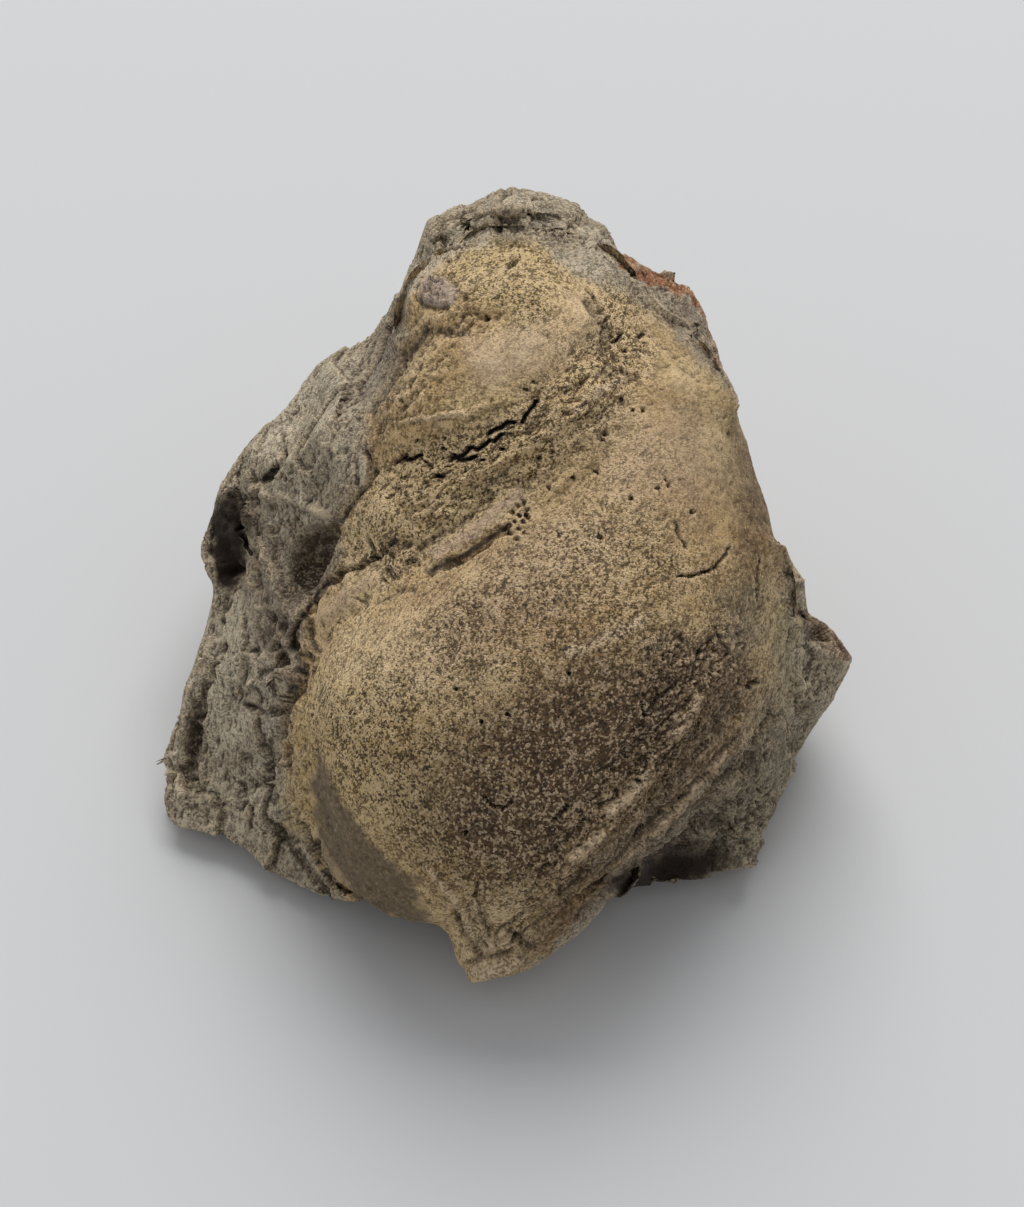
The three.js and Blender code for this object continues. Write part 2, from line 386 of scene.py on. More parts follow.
# %% Shrinkwrap the rock
make_active(rock)
bpy.ops.object.modifier_add(type="SHRINKWRAP")
rock.modifiers[-1].target = frame["nodes"]["matrix"]
rock.modifiers[-1].wrap_method = "NEAREST_SURFACEPOINT"
bpy.ops.object.modifier_apply(modifier=rock.modifiers[-1].name)
select_all(rock, "VERT", "SELECT")
smooth_selected(2)
print("rock is", [round(side / MM, 1) for side in rock.dimensions], "mm")

# %% [markdown]
# ## One ground for both pieces
#
# The solids meet in steps: a sharp V where two turns of the coil meet, and a ledge where the
# cast stands out of the rock. On the real stone most of these are filled with grit and run
# smooth. So the face is surveyed like land: rays from the camera find its height at every
# spot of a grid, and which piece is on top there.

# %% Survey the face
SURVEY_STEP = 3
SURVEY_X = np.arange(150, 870, SURVEY_STEP)
SURVEY_Y = np.arange(170, 1000, SURVEY_STEP)
EYE = FACE_MIDDLE + OUT * VIEW_DISTANCE
FARTHEST = 10.0


def survey(pieces):
    """Height of the foremost surface at each grid spot, and the number of its piece."""
    trees = [tree_of(piece) for piece in pieces]
    ground = np.full((len(SURVEY_Y), len(SURVEY_X)), np.nan)
    owner = np.full(ground.shape, -1)
    for row, y in enumerate(SURVEY_Y):
        for column, x in enumerate(SURVEY_X):
            across, down = (x - PICTURE_MIDDLE[0]) * SPOT, (y - PICTURE_MIDDLE[1]) * SPOT
            way = Vector(FACE_MIDDLE + RIGHT * across - UP * down - EYE).normalized()
            reach = FARTHEST
            for number, tree in enumerate(trees):
                hit = tree.ray_cast(Vector(EYE), way)
                if hit[0] and hit[3] < reach:
                    reach = hit[3]
                    ground[row, column] = (np.array(hit[0]) - FACE_MIDDLE) @ OUT
                    owner[row, column] = number
    return ground, owner


ground, owner = survey([cast, rock])
print("face stands", np.nanmin(ground) / MM, "to", np.nanmax(ground) / MM, "mm")

# %% [markdown]
# A survey is a small grid of heights, so earth-moving is plain arithmetic on it: each spot
# looks at its four neighbours. These are the tools for it.

# %% Tools for the survey
def around(grid):
    """The grid and its four copies moved one step each way."""
    return [grid] + [np.roll(grid, step, axis) for axis in (0, 1) for step in (-1, 1)]


def without_slots(ground, steps):
    """Bridges narrow slots: the highest of the neighbours, then the lowest, some steps each."""
    high = np.where(np.isnan(ground), -1, ground)
    for _ in range(steps):
        high = np.max(around(high), axis=0)
    for _ in range(steps):
        high = np.min(around(high), axis=0)
    return np.where(np.isnan(ground), np.nan, np.maximum(high, ground))


def evened(ground, freedom, rounds):
    """Lets heights even out where freedom is 1, and holds them where it is 0."""
    known = ~np.isnan(ground)
    height = np.where(known, ground, 0)
    count = np.maximum(sum(around(known)[1:]), 1)
    for _ in range(rounds):
        total = sum(around(height * known)[1:])
        height += freedom * known * (total / count - height)
    return np.where(known, height, np.nan)


def steps_from(marked, most):
    """How far each grid spot is from the marked ones, in spots."""
    distance = np.where(marked, 0, most)
    for _ in range(most):
        distance = np.minimum(distance, np.min(around(distance), axis=0) + 1)
    return distance * SURVEY_STEP


def read_grid(grid, spots):
    """The grid's value at each spot, blended from the four around it."""
    x = np.clip((spots[:, 0] - SURVEY_X[0]) / SURVEY_STEP, 0, len(SURVEY_X) - 1.001)
    y = np.clip((spots[:, 1] - SURVEY_Y[0]) / SURVEY_STEP, 0, len(SURVEY_Y) - 1.001)
    column, row = x.astype(int), y.astype(int)
    right, down = x - column, y - row
    upper = grid[row, column] * (1 - right) + grid[row, column + 1] * right
    lower = grid[row + 1, column] * (1 - right) + grid[row + 1, column + 1] * right
    return upper * (1 - down) + lower * down


def beyond_the_edge(grid, steps):
    """Carries the grid's values a few steps past the outline of the stone."""
    grid = grid.copy()
    for _ in range(steps):
        known = ~np.isnan(grid)
        total = sum(around(np.nan_to_num(grid)))
        count = sum(around(known.astype(int)))
        fill = ~known & (count > 0)
        grid[fill] = total[fill] / count[fill]
    return np.nan_to_num(grid)


grid_spots = np.stack(np.meshgrid(SURVEY_X, SURVEY_Y), axis=-1).reshape(-1, 2).astype(float)


def on_grid(values):
    return values.reshape(len(SURVEY_Y), len(SURVEY_X))


print("the survey has", len(grid_spots), "spots")

# %% [markdown]
# The band between the turns is filled deeply. The rest follows the seam of the two pieces,
# wherever they meet, and is wider over the crown and on the right, where the step is high.
# Narrow slots are bridged first, and then the heights even out where they are free to. The
# outline of the stone keeps its own height, or its thin rim would be drawn out to fins.

# %% Level the ground
TURNS = [
    (352, 478), (400, 446), (450, 428), (510, 405), (560, 360), (596, 318), (640, 318), (676, 360),
    (658, 404), (604, 458), (548, 508), (492, 556), (440, 600), (392, 632), (350, 668), (318, 694),
    (301, 680), (300, 640), (308, 608), (326, 586), (342, 560), (338, 520),
]
CROWN_STEP = [
    (395, 330), (410, 278), (442, 246), (470, 231), (512, 225), (562, 236), (640, 275), (700, 314),
    (722, 380), (700, 392), (650, 350), (600, 320), (560, 290), (510, 272), (460, 286), (425, 330),
    (405, 380),
]
RIGHT_STEP = [
    (752, 520), (792, 536), (806, 590), (806, 660), (792, 724), (765, 764), (738, 764), (722, 700),
    (728, 640), (740, 580),
]
STEP_EDGE = 20
SEAM_REACH = 34
RIM_REACH = 12
MOST_STEPS = 24
SLOT_STEPS = 4
FREE = 0.02
LEVEL_ROUNDS = 500
PAST_THE_EDGE = 6

seam = np.any([part == 0 for part in around(owner)], axis=0)
seam &= np.any([part == 1 for part in around(owner)], axis=0)
from_seam = steps_from(seam, MOST_STEPS)
wide = [patch(grid_spots, outline, STEP_EDGE) for outline in (TURNS, CROWN_STEP, RIGHT_STEP)]
freedom = np.maximum(on_grid(np.max(wide, axis=0)), 1 - rise(from_seam, SEAM_REACH / 2, SEAM_REACH))
inland = steps_from(np.isnan(ground), MOST_STEPS // 2).astype(float)
freedom *= rise(inland, 0, RIM_REACH)
ground = without_slots(ground, SLOT_STEPS)
new_ground = beyond_the_edge(evened(ground, freedom > FREE, LEVEL_ROUNDS), PAST_THE_EDGE)
lowest = np.min(around(np.where(np.isnan(ground), 1, ground)), axis=0)
lowest = np.where(np.isnan(ground), np.nan, np.min(around(lowest), axis=0))
lowest = beyond_the_edge(lowest, PAST_THE_EDGE)
print("the new ground is up to", round(np.nanmax(new_ground - ground) / MM, 1), "mm higher")

# %% [markdown]
# Each point of the visible surface is then lifted or lowered to the new ground. Points deeper
# down stay, and so do the steep walls near the outline, which would be pulled out long.

# %% Move both pieces to it
SKIN_DEPTH = {cast.name: 1.5 * MM, rock.name: 0.4 * MM}
WALL = (0.1, 0.4)
INLAND = (6, 30)


def height_of(places):
    return (places - FACE_MIDDLE) @ OUT


def on_the_face(piece, places):
    """1 for points of the visible surface, 0 for those deeper down."""
    depth = read_grid(lowest, to_picture(places)) - height_of(places)
    skin = SKIN_DEPTH[piece.name]
    return 1 - rise(depth, skin / 2, skin * 1.5)


def not_a_wall(piece, spots):
    """0 for the steep walls near the outline, and 1 elsewhere."""
    return np.maximum(rise(normals_of(piece) @ OUT, *WALL), rise(read_grid(inland, spots), *INLAND))


surface = {piece.name: on_the_face(piece, points_of(piece)) for piece in (cast, rock)}
for piece in (cast, rock):
    places = points_of(piece)
    spots = to_picture(places)
    share = surface[piece.name] * read_grid(freedom, spots) * not_a_wall(piece, spots)
    lift = share * (read_grid(new_ground, spots) - height_of(places))
    set_points(piece, places + lift[:, None] * OUT)
    print(piece.name, "moved", round(lift.min() / MM, 1), "to", round(lift.max() / MM, 1), "mm")

# %% [markdown]
# ## Closing the socket
#
# The solids keep a gap all round, because the cast could be lifted out. On the real stone the
# gap is closed by grit. So each piece's edge is slid across the gap and dips under the other
# one's. Both lie on the same ground where they cross, so the join is level. The way to slide
# is the slope of a map that counts spots from the seam, up on the rock's side of it and down
# on the cast's.

# %% Slide the two edges under each other
ROCK_REACH = 1.4 * MM
CAST_REACH = 0.9 * MM
DIP = 0.9 * MM
SLIDE_FROM = 4
SLIDE_TO = 40
DIP_FROM = -12
LEAST_SLOPE = 0.3
NEAR_THE_GROUND = (-4 * MM, -2 * MM)
FREE_TO_MOVE = (0.1, 0.6)

beside_cast = (steps_from(owner == 0, MOST_STEPS) - steps_from(owner == 1, MOST_STEPS)).astype(float)
beside_cast = evened(beside_cast, np.ones(beside_cast.shape), rounds=6)
down_slope, right_slope = np.gradient(beside_cast)

for piece, side, reach in ((rock, 1, ROCK_REACH), (cast, -1, CAST_REACH)):
    places = points_of(piece)
    spots = to_picture(places)
    outward = read_grid(right_slope, spots)[:, None] * RIGHT
    outward -= read_grid(down_slope, spots)[:, None] * UP
    outward /= np.maximum(np.linalg.norm(outward, axis=1), LEAST_SLOPE)[:, None]
    own_side = side * read_grid(beside_cast, spots)
    slide = reach * (1 - rise(own_side, SLIDE_FROM, SLIDE_TO * reach / ROCK_REACH))
    slide *= rise(height_of(places) - read_grid(new_ground, spots), *NEAR_THE_GROUND)
    slide *= rise(read_grid(freedom, spots), *FREE_TO_MOVE)
    places = places - side * outward * slide[:, None]
    spots = to_picture(places)
    own_side = side * read_grid(beside_cast, spots)
    dip = DIP * (1 - rise(own_side, DIP_FROM, 0))
    share = surface[piece.name] * rise(slide, 0, 0.2 * reach) * not_a_wall(piece, spots)
    places += (share * (read_grid(new_ground, spots) - dip - height_of(places)))[:, None] * OUT
    places[:, 2] = np.maximum(places[:, 2], 0)
    set_points(piece, places)
    print(piece.name, (slide > 0.5 * reach).sum(), "points slid")

# %% [markdown]
# The slide leaves some faces long and thin, on walls that the viewer sees edge on. Their ends
# are found again and again, and relaxed towards their neighbours, which spreads the stretch
# over the whole wall.

# %% Relax the stretched walls
LONG_EDGE = 1.5 * MM
STRETCH_PASSES = 6
EDGE_ON = 0.35

for piece in (cast, rock):
    one, other = edges_of(piece).T
    for _ in range(STRETCH_PASSES):
        places = points_of(piece)
        long = np.linalg.norm(places[one] - places[other], axis=1) > LONG_EDGE
        stretched = np.zeros(len(places), bool)
        stretched[one[long]] = True
        stretched[other[long]] = True
        stretched &= normals_of(piece) @ OUT < EDGE_ON
        select_points(piece, stretched)
        smooth_selected(6)
    print(piece.name, long.sum(), "long edges were left before the last pass")

# %% [markdown]
# ## The marks on the cast
#
# Each mark is a height in millimetres, a half width in spots and a path. Heights above zero
# are ridges, and below zero grooves. The flutes run with the coil, along the band where the
# turns meet. The keel is the corner that the last turn makes before it drops to its flank, and
# its crest is a bundle of thin flakes. Shell is left as low ridges along the turns and above
# the keel. A path that a stain follows later has a name of its own.

# %% Ridges, flutes and keel
RIDGE_PATHS = [
    [(697, 698), (692, 708), (684, 722), (673, 736)],
    [(648, 777), (638, 786), (624, 800), (610, 812)],
    [(603, 835), (588, 846), (572, 857)],
]
TAIL_PATHS = [
    [(426, 868), (457, 902), (470, 929), (484, 950)],
    [(474, 899), (484, 929), (491, 946)],
    [(474, 974), (498, 968), (518, 962)],
]
SHELL_RIDGES = [
    (0.25, 11, [(434, 555), (456, 541), (486, 518), (514, 495)]),
    (0.25, 14, [(324, 612), (345, 596), (368, 578)]),
    (0.30, 8, RIDGE_PATHS[0]),
    (0.25, 8, RIDGE_PATHS[1]),
    (0.35, 9, RIDGE_PATHS[2]),
]
CREVICES = [
    (-0.7, 6, [(430, 571), (442, 565), (458, 558), (474, 549), (490, 538), (504, 528)]),
]
KEEL_CREST = [
    (0.55, 4, [(736, 741), (718, 765), (702, 780), (684, 803), (667, 819), (650, 838), (637, 850),
               (605, 879)]),
    (-0.45, 3, [(742, 748), (709, 787), (690, 811), (674, 826), (658, 845), (644, 857), (615, 884)]),
    (-0.30, 3, [(731, 738), (712, 760), (697, 775), (678, 799), (661, 814), (632, 844), (600, 873)]),
    (0.20, 3, [(716, 744), (700, 759), (688, 769)]),
    (0.20, 3, [(662, 798), (646, 813), (630, 831), (610, 848)]),
    (-0.20, 3, [(684, 762), (668, 780), (652, 794)]),
    (-0.20, 3, [(630, 818), (612, 833), (596, 850)]),
    (0.20, 3, [(640, 858), (622, 874), (604, 886), (584, 902), (560, 918)]),
    (-0.20, 3, [(622, 862), (604, 877), (588, 888), (570, 902)]),
    (0.20, 3, [(612, 860), (594, 875), (576, 886), (556, 899)]),
]
FLUTES = [
    (0.30, 5, [(404, 421), (430, 417), (466, 414), (500, 402)]),
    (1.1, 50, [(395, 520), (455, 485), (520, 445), (590, 395)]),
    (0.25, 8, [(440, 516), (490, 494), (540, 468)]),
    (-0.35, 5, [(404, 566), (420, 549), (440, 537), (462, 523), (478, 508), (492, 494)]),
    (-0.35, 5, [(388, 552), (408, 546), (430, 541), (444, 530)]),
    (-0.25, 8, [(340, 622), (360, 608), (384, 594), (410, 588)]),
    (0.25, 8, [(470, 480), (520, 455), (566, 424), (605, 402)]),
    (0.30, 9, [(575, 412), (600, 394), (622, 382)]),
    (0.20, 9, [(560, 452), (610, 424), (655, 398)]),
    (0.25, 7, [(398, 347), (426, 322), (452, 312)]),
    (-0.30, 6, [(474, 490), (496, 481), (503, 475)]),
    (-0.30, 7, [(528, 431), (535, 422), (545, 411)]),
    (-0.25, 5, [(574, 386), (585, 381)]),
    (-0.30, 6, [(596, 377), (609, 366)]),
    (-0.30, 6, [(603, 374), (625, 372), (636, 378)]),
    (-0.25, 6, [(588, 426), (600, 416), (612, 397)]),
    (-0.30, 9, [(394, 384), (398, 368), (405, 358), (425, 340)]),
    (-0.35, 8, [(425, 332), (447, 331), (464, 333)]),
]
CROWN_AND_SPIRE = [
    (-0.60, 6, [(475, 283), (464, 296)]),
    (-0.25, 14, [(440, 312), (470, 322), (500, 312)]),
    (0.20, 40, [(490, 360), (520, 352)]),
    (-0.30, 10, [(590, 300), (606, 330), (602, 350)]),
]
KEEL = [
    (0.45, 26, [(735, 630), (718, 672), (696, 708), (668, 750), (636, 793), (600, 835), (566, 865)]),
    (-0.50, 14, [(728, 700), (706, 742), (672, 788), (640, 826), (604, 858), (560, 892)]),
    (-0.50, 12, [(668, 782), (660, 798), (648, 808)]),
    (-0.80, 12, [(750, 757), (716, 796), (682, 836), (652, 864)]),
]
TAIL = [
    (0.45, 6, TAIL_PATHS[0]),
    (0.40, 5, TAIL_PATHS[1]),
    (-0.50, 5, [(480, 912), (488, 936)]),
    (-0.50, 6, [(456, 915), (468, 938), (480, 956)]),
    (-0.60, 8, [(512, 934), (522, 942), (534, 946)]),
    (0.60, 8, TAIL_PATHS[2]),
    (-0.45, 5, [(468, 962), (492, 956), (512, 951)]),
    (0.30, 4, [(518, 948), (552, 922), (588, 896)]),
    (-0.35, 4, [(512, 942), (545, 915), (575, 893)]),
    (0.30, 4, [(501, 943), (530, 921), (560, 901)]),
    (-0.30, 4, [(494, 934), (522, 914), (550, 896)]),
    (-0.40, 4, [(476, 884), (474, 898)]),
    (-0.25, 4, [(348, 892), (368, 904), (392, 905)]),
]
CAST_FORM = SHELL_RIDGES + CREVICES + FLUTES + CROWN_AND_SPIRE + KEEL + TAIL
print(len(CAST_FORM), "ridges and grooves on the cast")

# %% [markdown]
# ## Cracks and pits
#
# Open cracks are narrow and dark because they are deep. The deepest lie in the band between
# the turns, where the shell has gone. Wide partings run along the cast's left edge, and one
# in the rock. Pits are the same strokes, as short as they can be; a cluster of them stands
# where the ridge between the turns ends.

# %% Cracks and pits
CUT_DEPTH = -0.7 * MM
CUT_WIDTH = 3.4
HAIRLINE_WIDTH = 2.0
PIT_WIDTH = 2.8
PARTING_DEPTH = -1.0 * MM
PARTING_WIDTH = 5
PARTINGS = [
    [(341, 572), (323, 588), (310, 606), (298, 625), (295, 645), (301, 672), (294, 688), (287, 702)],
    [(314, 843), (316, 860), (324, 872), (334, 883), (343, 893)],
    [(278, 467), (272, 472), (264, 480)],
]
CRACKS = [
    [(398, 541), (388, 546), (381, 557), (370, 560), (360, 567), (350, 570), (341, 572)],
    [(370, 540), (375, 550), (372, 560)],
    [(504, 530), (509, 524)],
    [(395, 463), (401, 459), (405, 455), (406, 460), (411, 460), (414, 458), (421, 455)],
    [(438, 476), (444, 476)],
    [(452, 460), (454, 455), (459, 457), (465, 455), (470, 448), (473, 447), (478, 449)],
    [(460, 460), (470, 459), (477, 456)],
    [(479, 449), (487, 443), (490, 440)],
    [(495, 441), (502, 434)],
    [(489, 433), (495, 429), (502, 427), (507, 422), (514, 422)],
    [(522, 422), (526, 414), (534, 406), (536, 401)],
    [(509, 268), (518, 257)],
    [(622, 333), (620, 339), (613, 341), (612, 337)],
    [(639, 336), (643, 334)],
    [(748, 688), (751, 684), (757, 682)],
]
HAIRLINES = [
    [(675, 522), (680, 538), (686, 545)],
    [(679, 576), (695, 575), (715, 568), (727, 554), (729, 548)],
    [(666, 480), (670, 487)],
    [(640, 702), (645, 717)],
    [(554, 820), (569, 805)],
    [(485, 797), (493, 807), (502, 808), (512, 803)],
    [(717, 636), (724, 650), (730, 663)],
    [(465, 223), (472, 228), (480, 229), (489, 228), (497, 232), (504, 233)],
    [(501, 227), (509, 226)],
    [(434, 254), (452, 249), (464, 247), (476, 246)],
    [(522, 209), (537, 221), (546, 226)],
    [(421, 459), (427, 462), (434, 468)],
    [(608, 316), (605, 329), (602, 334)],
    [(587, 288), (595, 298), (603, 309)],
    [(760, 560), (756, 580), (757, 600)],
    [(700, 648), (694, 664), (690, 680)],
]
PITS = [
    (401, 401), (443, 439), (443, 448), (503, 449), (484, 460), (539, 459), (416, 441), (526, 390),
    (535, 383), (486, 317), (518, 528), (523, 532), (620, 401), (632, 410), (642, 409), (604, 434),
    (602, 440), (595, 471), (573, 478), (657, 488), (631, 498), (548, 487), (600, 537), (559, 534),
    (692, 511), (455, 689),
    (507, 714), (481, 722), (569, 673), (466, 832), (636, 779), (553, 234), (547, 232), (561, 236),
    (625, 350), (608, 317), (457, 256), (448, 261), (517, 505), (523, 502), (526, 509), (512, 512),
    (519, 515), (514, 521), (522, 521), (509, 533), (516, 538), (525, 514), (528, 518), (392, 556),
    (399, 563), (405, 571), (388, 569), (411, 559), (396, 577), (383, 577),
]
print(len(CRACKS), "cracks,", len(HAIRLINES), "hairlines,", len(PITS), "pits")

# %% [markdown]
# ## The marks on the rock
#
# The siltstone splits along its bedding, which stands nearly upright on the left. So its
# marks are long slots and sharp ridges there, with hollows where pieces fell out.

# %% Hollows and slots of the rock
HOLLOWS = [
    (-2.8, 17, [(235, 502), (241, 526), (240, 550), (231, 578)]),
    (-0.8, 10, [(221, 518), (221, 560)]),
    (-1.5, 7, [(259, 560), (258, 574), (256, 586)]),
    (-1.3, 24, [(320, 538), (306, 566), (291, 592)]),
    (-1.0, 12, [(335, 522), (323, 548), (314, 572)]),
    (-0.9, 13, [(274, 618), (272, 642), (281, 662)]),
    (-0.9, 7, [(250, 706), (262, 713), (276, 709)]),
    (-1.4, 8, [(295, 686), (288, 700), (283, 720), (278, 736)]),
    (-1.5, 10, [(197, 704), (193, 740), (188, 780)]),
]
SLOTS = [
    (-1.0, 4, [(282, 436), (284, 454), (278, 467), (264, 480)]),
    (-0.9, 4, [(220, 642), (217, 658), (211, 673), (203, 692), (200, 717), (199, 750)]),
    (-0.6, 4, [(236, 584), (226, 600), (223, 620)]),
    (-0.5, 4, [(250, 643), (242, 664), (239, 676)]),
    (-0.6, 3, [(295, 751), (296, 768)]),
    (-0.5, 4, [(252, 806), (252, 827)]),
    (-0.4, 4, [(242, 754), (241, 776)]),
    (-0.5, 4, [(404, 354), (395, 376), (386, 390), (370, 413)]),
    (-0.5, 4, [(361, 440), (376, 472), (366, 486), (351, 511), (338, 524)]),
    (-0.6, 3, [(463, 222), (470, 229), (484, 230), (505, 226)]),
    (-0.5, 4, [(752, 684), (760, 680)]),
]
ROCK_RIDGES = [
    (1.0, 6, [(259, 488), (254, 515), (250, 546)]),
    (1.0, 8, [(274, 526), (268, 550), (272, 576)]),
    (0.9, 6, [(262, 607), (253, 640), (243, 668), (237, 690)]),
    (0.9, 13, [(256, 684), (270, 681), (286, 676)]),
    (0.6, 9, [(180, 742), (172, 770)]),
    (0.6, 8, [(209, 640), (203, 672), (190, 700), (179, 735)]),
    (0.5, 9, [(298, 728), (300, 770), (306, 815)]),
    (0.6, 10, [(268, 494), (300, 500), (322, 512)]),
    (0.7, 12, [(440, 236), (452, 226)]),
    (0.6, 7, [(738, 690), (736, 720), (726, 752)]),
]
ROCK_FORM = HOLLOWS + SLOTS + ROCK_RIDGES
WIDE_MARK = 20
print(len(ROCK_FORM), "marks on the rock")

# %% [markdown]
# ## Where the skin is rough
#
# The cast is finely grained all over, but rougher in the band between the turns and along the
# keel. Its texture is combed: it runs with the coil, up to the right, and more steeply on the
# flank below the keel. Polished spots and what is left of the shell are smoother. These
# outlines say where.

# %% Rough ground
TURN_BAND = [
    (352, 520), (400, 450), (450, 432), (510, 412), (560, 368), (590, 330), (605, 290), (640, 310),
    (655, 345), (650, 380), (600, 432), (545, 478), (500, 522), (430, 568), (375, 585), (330, 600),
]
CROWN_SIDE = [
    (392, 352), (430, 315), (470, 300), (505, 300), (480, 330), (440, 370), (400, 425), (368, 450),
]
KEEL_GROUND = [
    (650, 640), (735, 625), (745, 680), (700, 760), (640, 820), (580, 870), (520, 905), (545, 850),
    (600, 790), (640, 715),
]
FLANK = [
    (742, 640), (722, 675), (700, 712), (672, 758), (640, 802), (604, 844), (570, 876), (530, 920),
    (500, 955), (520, 970), (600, 908), (640, 860), (705, 790), (745, 740), (760, 690),
]
PLATEAU = [(345, 500), (380, 480), (430, 500), (425, 560), (385, 575), (340, 580), (336, 530)]
PINK_RIDGE = [(424, 552), (455, 533), (486, 512), (522, 484), (524, 498), (488, 528), (436, 562)]
SADDLE = [(560, 290), (590, 290), (600, 330), (570, 335)]
POLISHED = [
    (1.0, 8, [(318, 755), (330, 775), (341, 803), (362, 827), (374, 847), (397, 866), (418, 879),
              (427, 927), (395, 920), (370, 906), (343, 889), (328, 866), (314, 839), (313, 774)]),
    (0.8, 40, [(470, 345), (510, 335), (555, 335), (550, 368), (500, 385), (465, 372)]),
    (0.7, 70, [(655, 330), (720, 375), (775, 460), (775, 560), (700, 540), (640, 420)]),
    (0.9, 8, PINK_RIDGE),
    (0.7, 10, [(318, 612), (345, 588), (375, 568), (380, 576), (350, 604), (322, 622)]),
    (0.6, 24, SADDLE),
    (0.5, 6, [(416, 290), (426, 276), (444, 275), (458, 290), (450, 308), (428, 308)]),
]
COIL_SLOPE = math.radians(33)
FLANK_SLOPE = math.radians(51)
BEDDING_LEFT = math.radians(75)
BEDDING_RIGHT = math.radians(96)
BEDDING_TURNS = (-6 * MM, 8 * MM)
print(len(POLISHED), "polished spots")

# %% [markdown]
# Each kind of mark is read by a function that gives every spot its share or its height.

# %% Reading the marks
CUT_EDGE = (0.2, 0.6)
CUT_RAGGED = 0.35
HAIRLINE_SHARE = 0.7


def widened(lines, factor, strength=1.0):
    """The lines of some marks as layers of one strength, with their widths times a factor."""
    return [(strength, factor * width, path) for _, width, path in lines]


def calm_ground(spots):
    """1 where the stone was polished or the shell is left, and 0 elsewhere."""
    flat = strongest(patch, spots, POLISHED)
    return np.maximum(flat, strongest(stroke, spots, widened(SHELL_RIDGES, 1.5, 0.6)))


def marks(spots, lines):
    """The height of a set of marks at each spot, in metres."""
    height = np.zeros(len(spots))
    for mark_height, width, path in lines:
        height += mark_height * MM * stroke(spots, path, width)
    return height


def partings(spots):
    """How far each spot is into one of the wide cracks, from 0 to 1."""
    return strongest(stroke, spots, [(1, PARTING_WIDTH, path) for path in PARTINGS])


def cuts(spots, places, width=CUT_WIDTH):
    """How far each spot is into a crack or pit, from 0 to 1, with ragged edges."""
    hairline = width * HAIRLINE_WIDTH / CUT_WIDTH
    pit = width * PIT_WIDTH / CUT_WIDTH
    layers = [(1, width, path) for path in CRACKS]
    layers += [(HAIRLINE_SHARE, hairline, path) for path in HAIRLINES]
    layers += [(1, pit, [(x, y), (x + 1, y)]) for x, y in PITS]
    share = strongest(stroke, spots, layers)
    near = share > 0
    share[near] += CUT_RAGGED * lumps(places[near], 0.35 * MM, shift=2)
    return rise(share, *CUT_EDGE) * near


print("a crack is", round(2 * CUT_WIDTH * SPOT / MM, 2), "mm wide")

# %% [markdown]
# The narrowest marks are finer than the faces so far, so the cast's faces are split once more
# under them, and in the roughest ground.

# %% Finer clay under the marks
FINE_CUT = 6
FINE_CREST = 6
WELL_INSIDE = 0.8
FACING_WELL = 0.1

spots = to_picture(points_of(cast))
crest = strongest(stroke, spots, [(1, FINE_CREST, path) for _, _, path in KEEL_CREST + TAIL])
fine = cuts(spots, points_of(cast), FINE_CUT) + crest > 0
fine |= patch(spots, TURN_BAND, 30) > WELL_INSIDE
fine |= patch(spots, KEEL_GROUND, 60) > WELL_INSIDE
refine(cast, fine & (normals_of(cast) @ OUT > FACING_WELL), rounds=1)

# %% [markdown]
# ## Kinds of roughness
#
# The finest forms come from noise, read in different ways. Places are squeezed along a slope,
# so that the noise runs in grooves, and stirred, so that it has no even rows. Folded at zero,
# noise gives round lumps with sharp creases between; cut off near its highest, it gives
# ragged pits. Siltstone breaks in flat chips: the cells of a Voronoi pattern, each tilted its
# own way.

# %% Combed, stirred, creased, pitted and chipped
def combed(places, slope, stretch):
    """Places squeezed along a slope of the face, so that noise read there runs along it."""
    along = np.outer(np.cos(slope), RIGHT) + np.outer(np.sin(slope), UP)
    from_middle = places - FACE_MIDDLE
    share = (from_middle * along).sum(1) * (1 - 1 / stretch)
    return from_middle - share[:, None] * along


def stirred(places, reach, size):
    """The places moved about by up to this reach, in swirls of this size."""
    moved = np.array([noise.noise_vector(Vector(p)) for p in places / size])
    return places + reach * moved


def creased(places, size, shift=0.0):
    """Round lumps with sharp creases between them."""
    return np.abs(lumps(places, size, 3, shift)) * 1.6 - 0.35


def pitted(places, size, shift=0.0):
    """Ragged little pits, 0 between them and -1 at their floors."""
    return -rise(lumps(places, size, 3, shift), 0.12, 0.4)


def chipped(places, size, shift=0.0):
    """Flat chips of about this size, each tilted its own way, with small steps between."""
    heights = np.empty(len(places))
    for number, place in enumerate(places / size + shift):
        middle = noise.voronoi(Vector(place))[1][0]
        heights[number] = noise.cell_vector(middle * 7).dot(Vector(place) - middle)
    return heights


sample = creased(points_of(cast)[::500], 1 * MM)
print("creased noise goes from", sample.min().round(2), "to", sample.max().round(2))

# %% [markdown]
# ## The skin of each stone
#
# A skin is a sum of layers, each with its heights in millimetres, its kind of noise, and the
# size of its lumps. The cast is fine and even, and its layers grow where it is rough and on
# its flank. The siltstone is coarse and chipped along its bedding, which leans over from the
# left side to the right, and its smallest chips and pits come in patches.

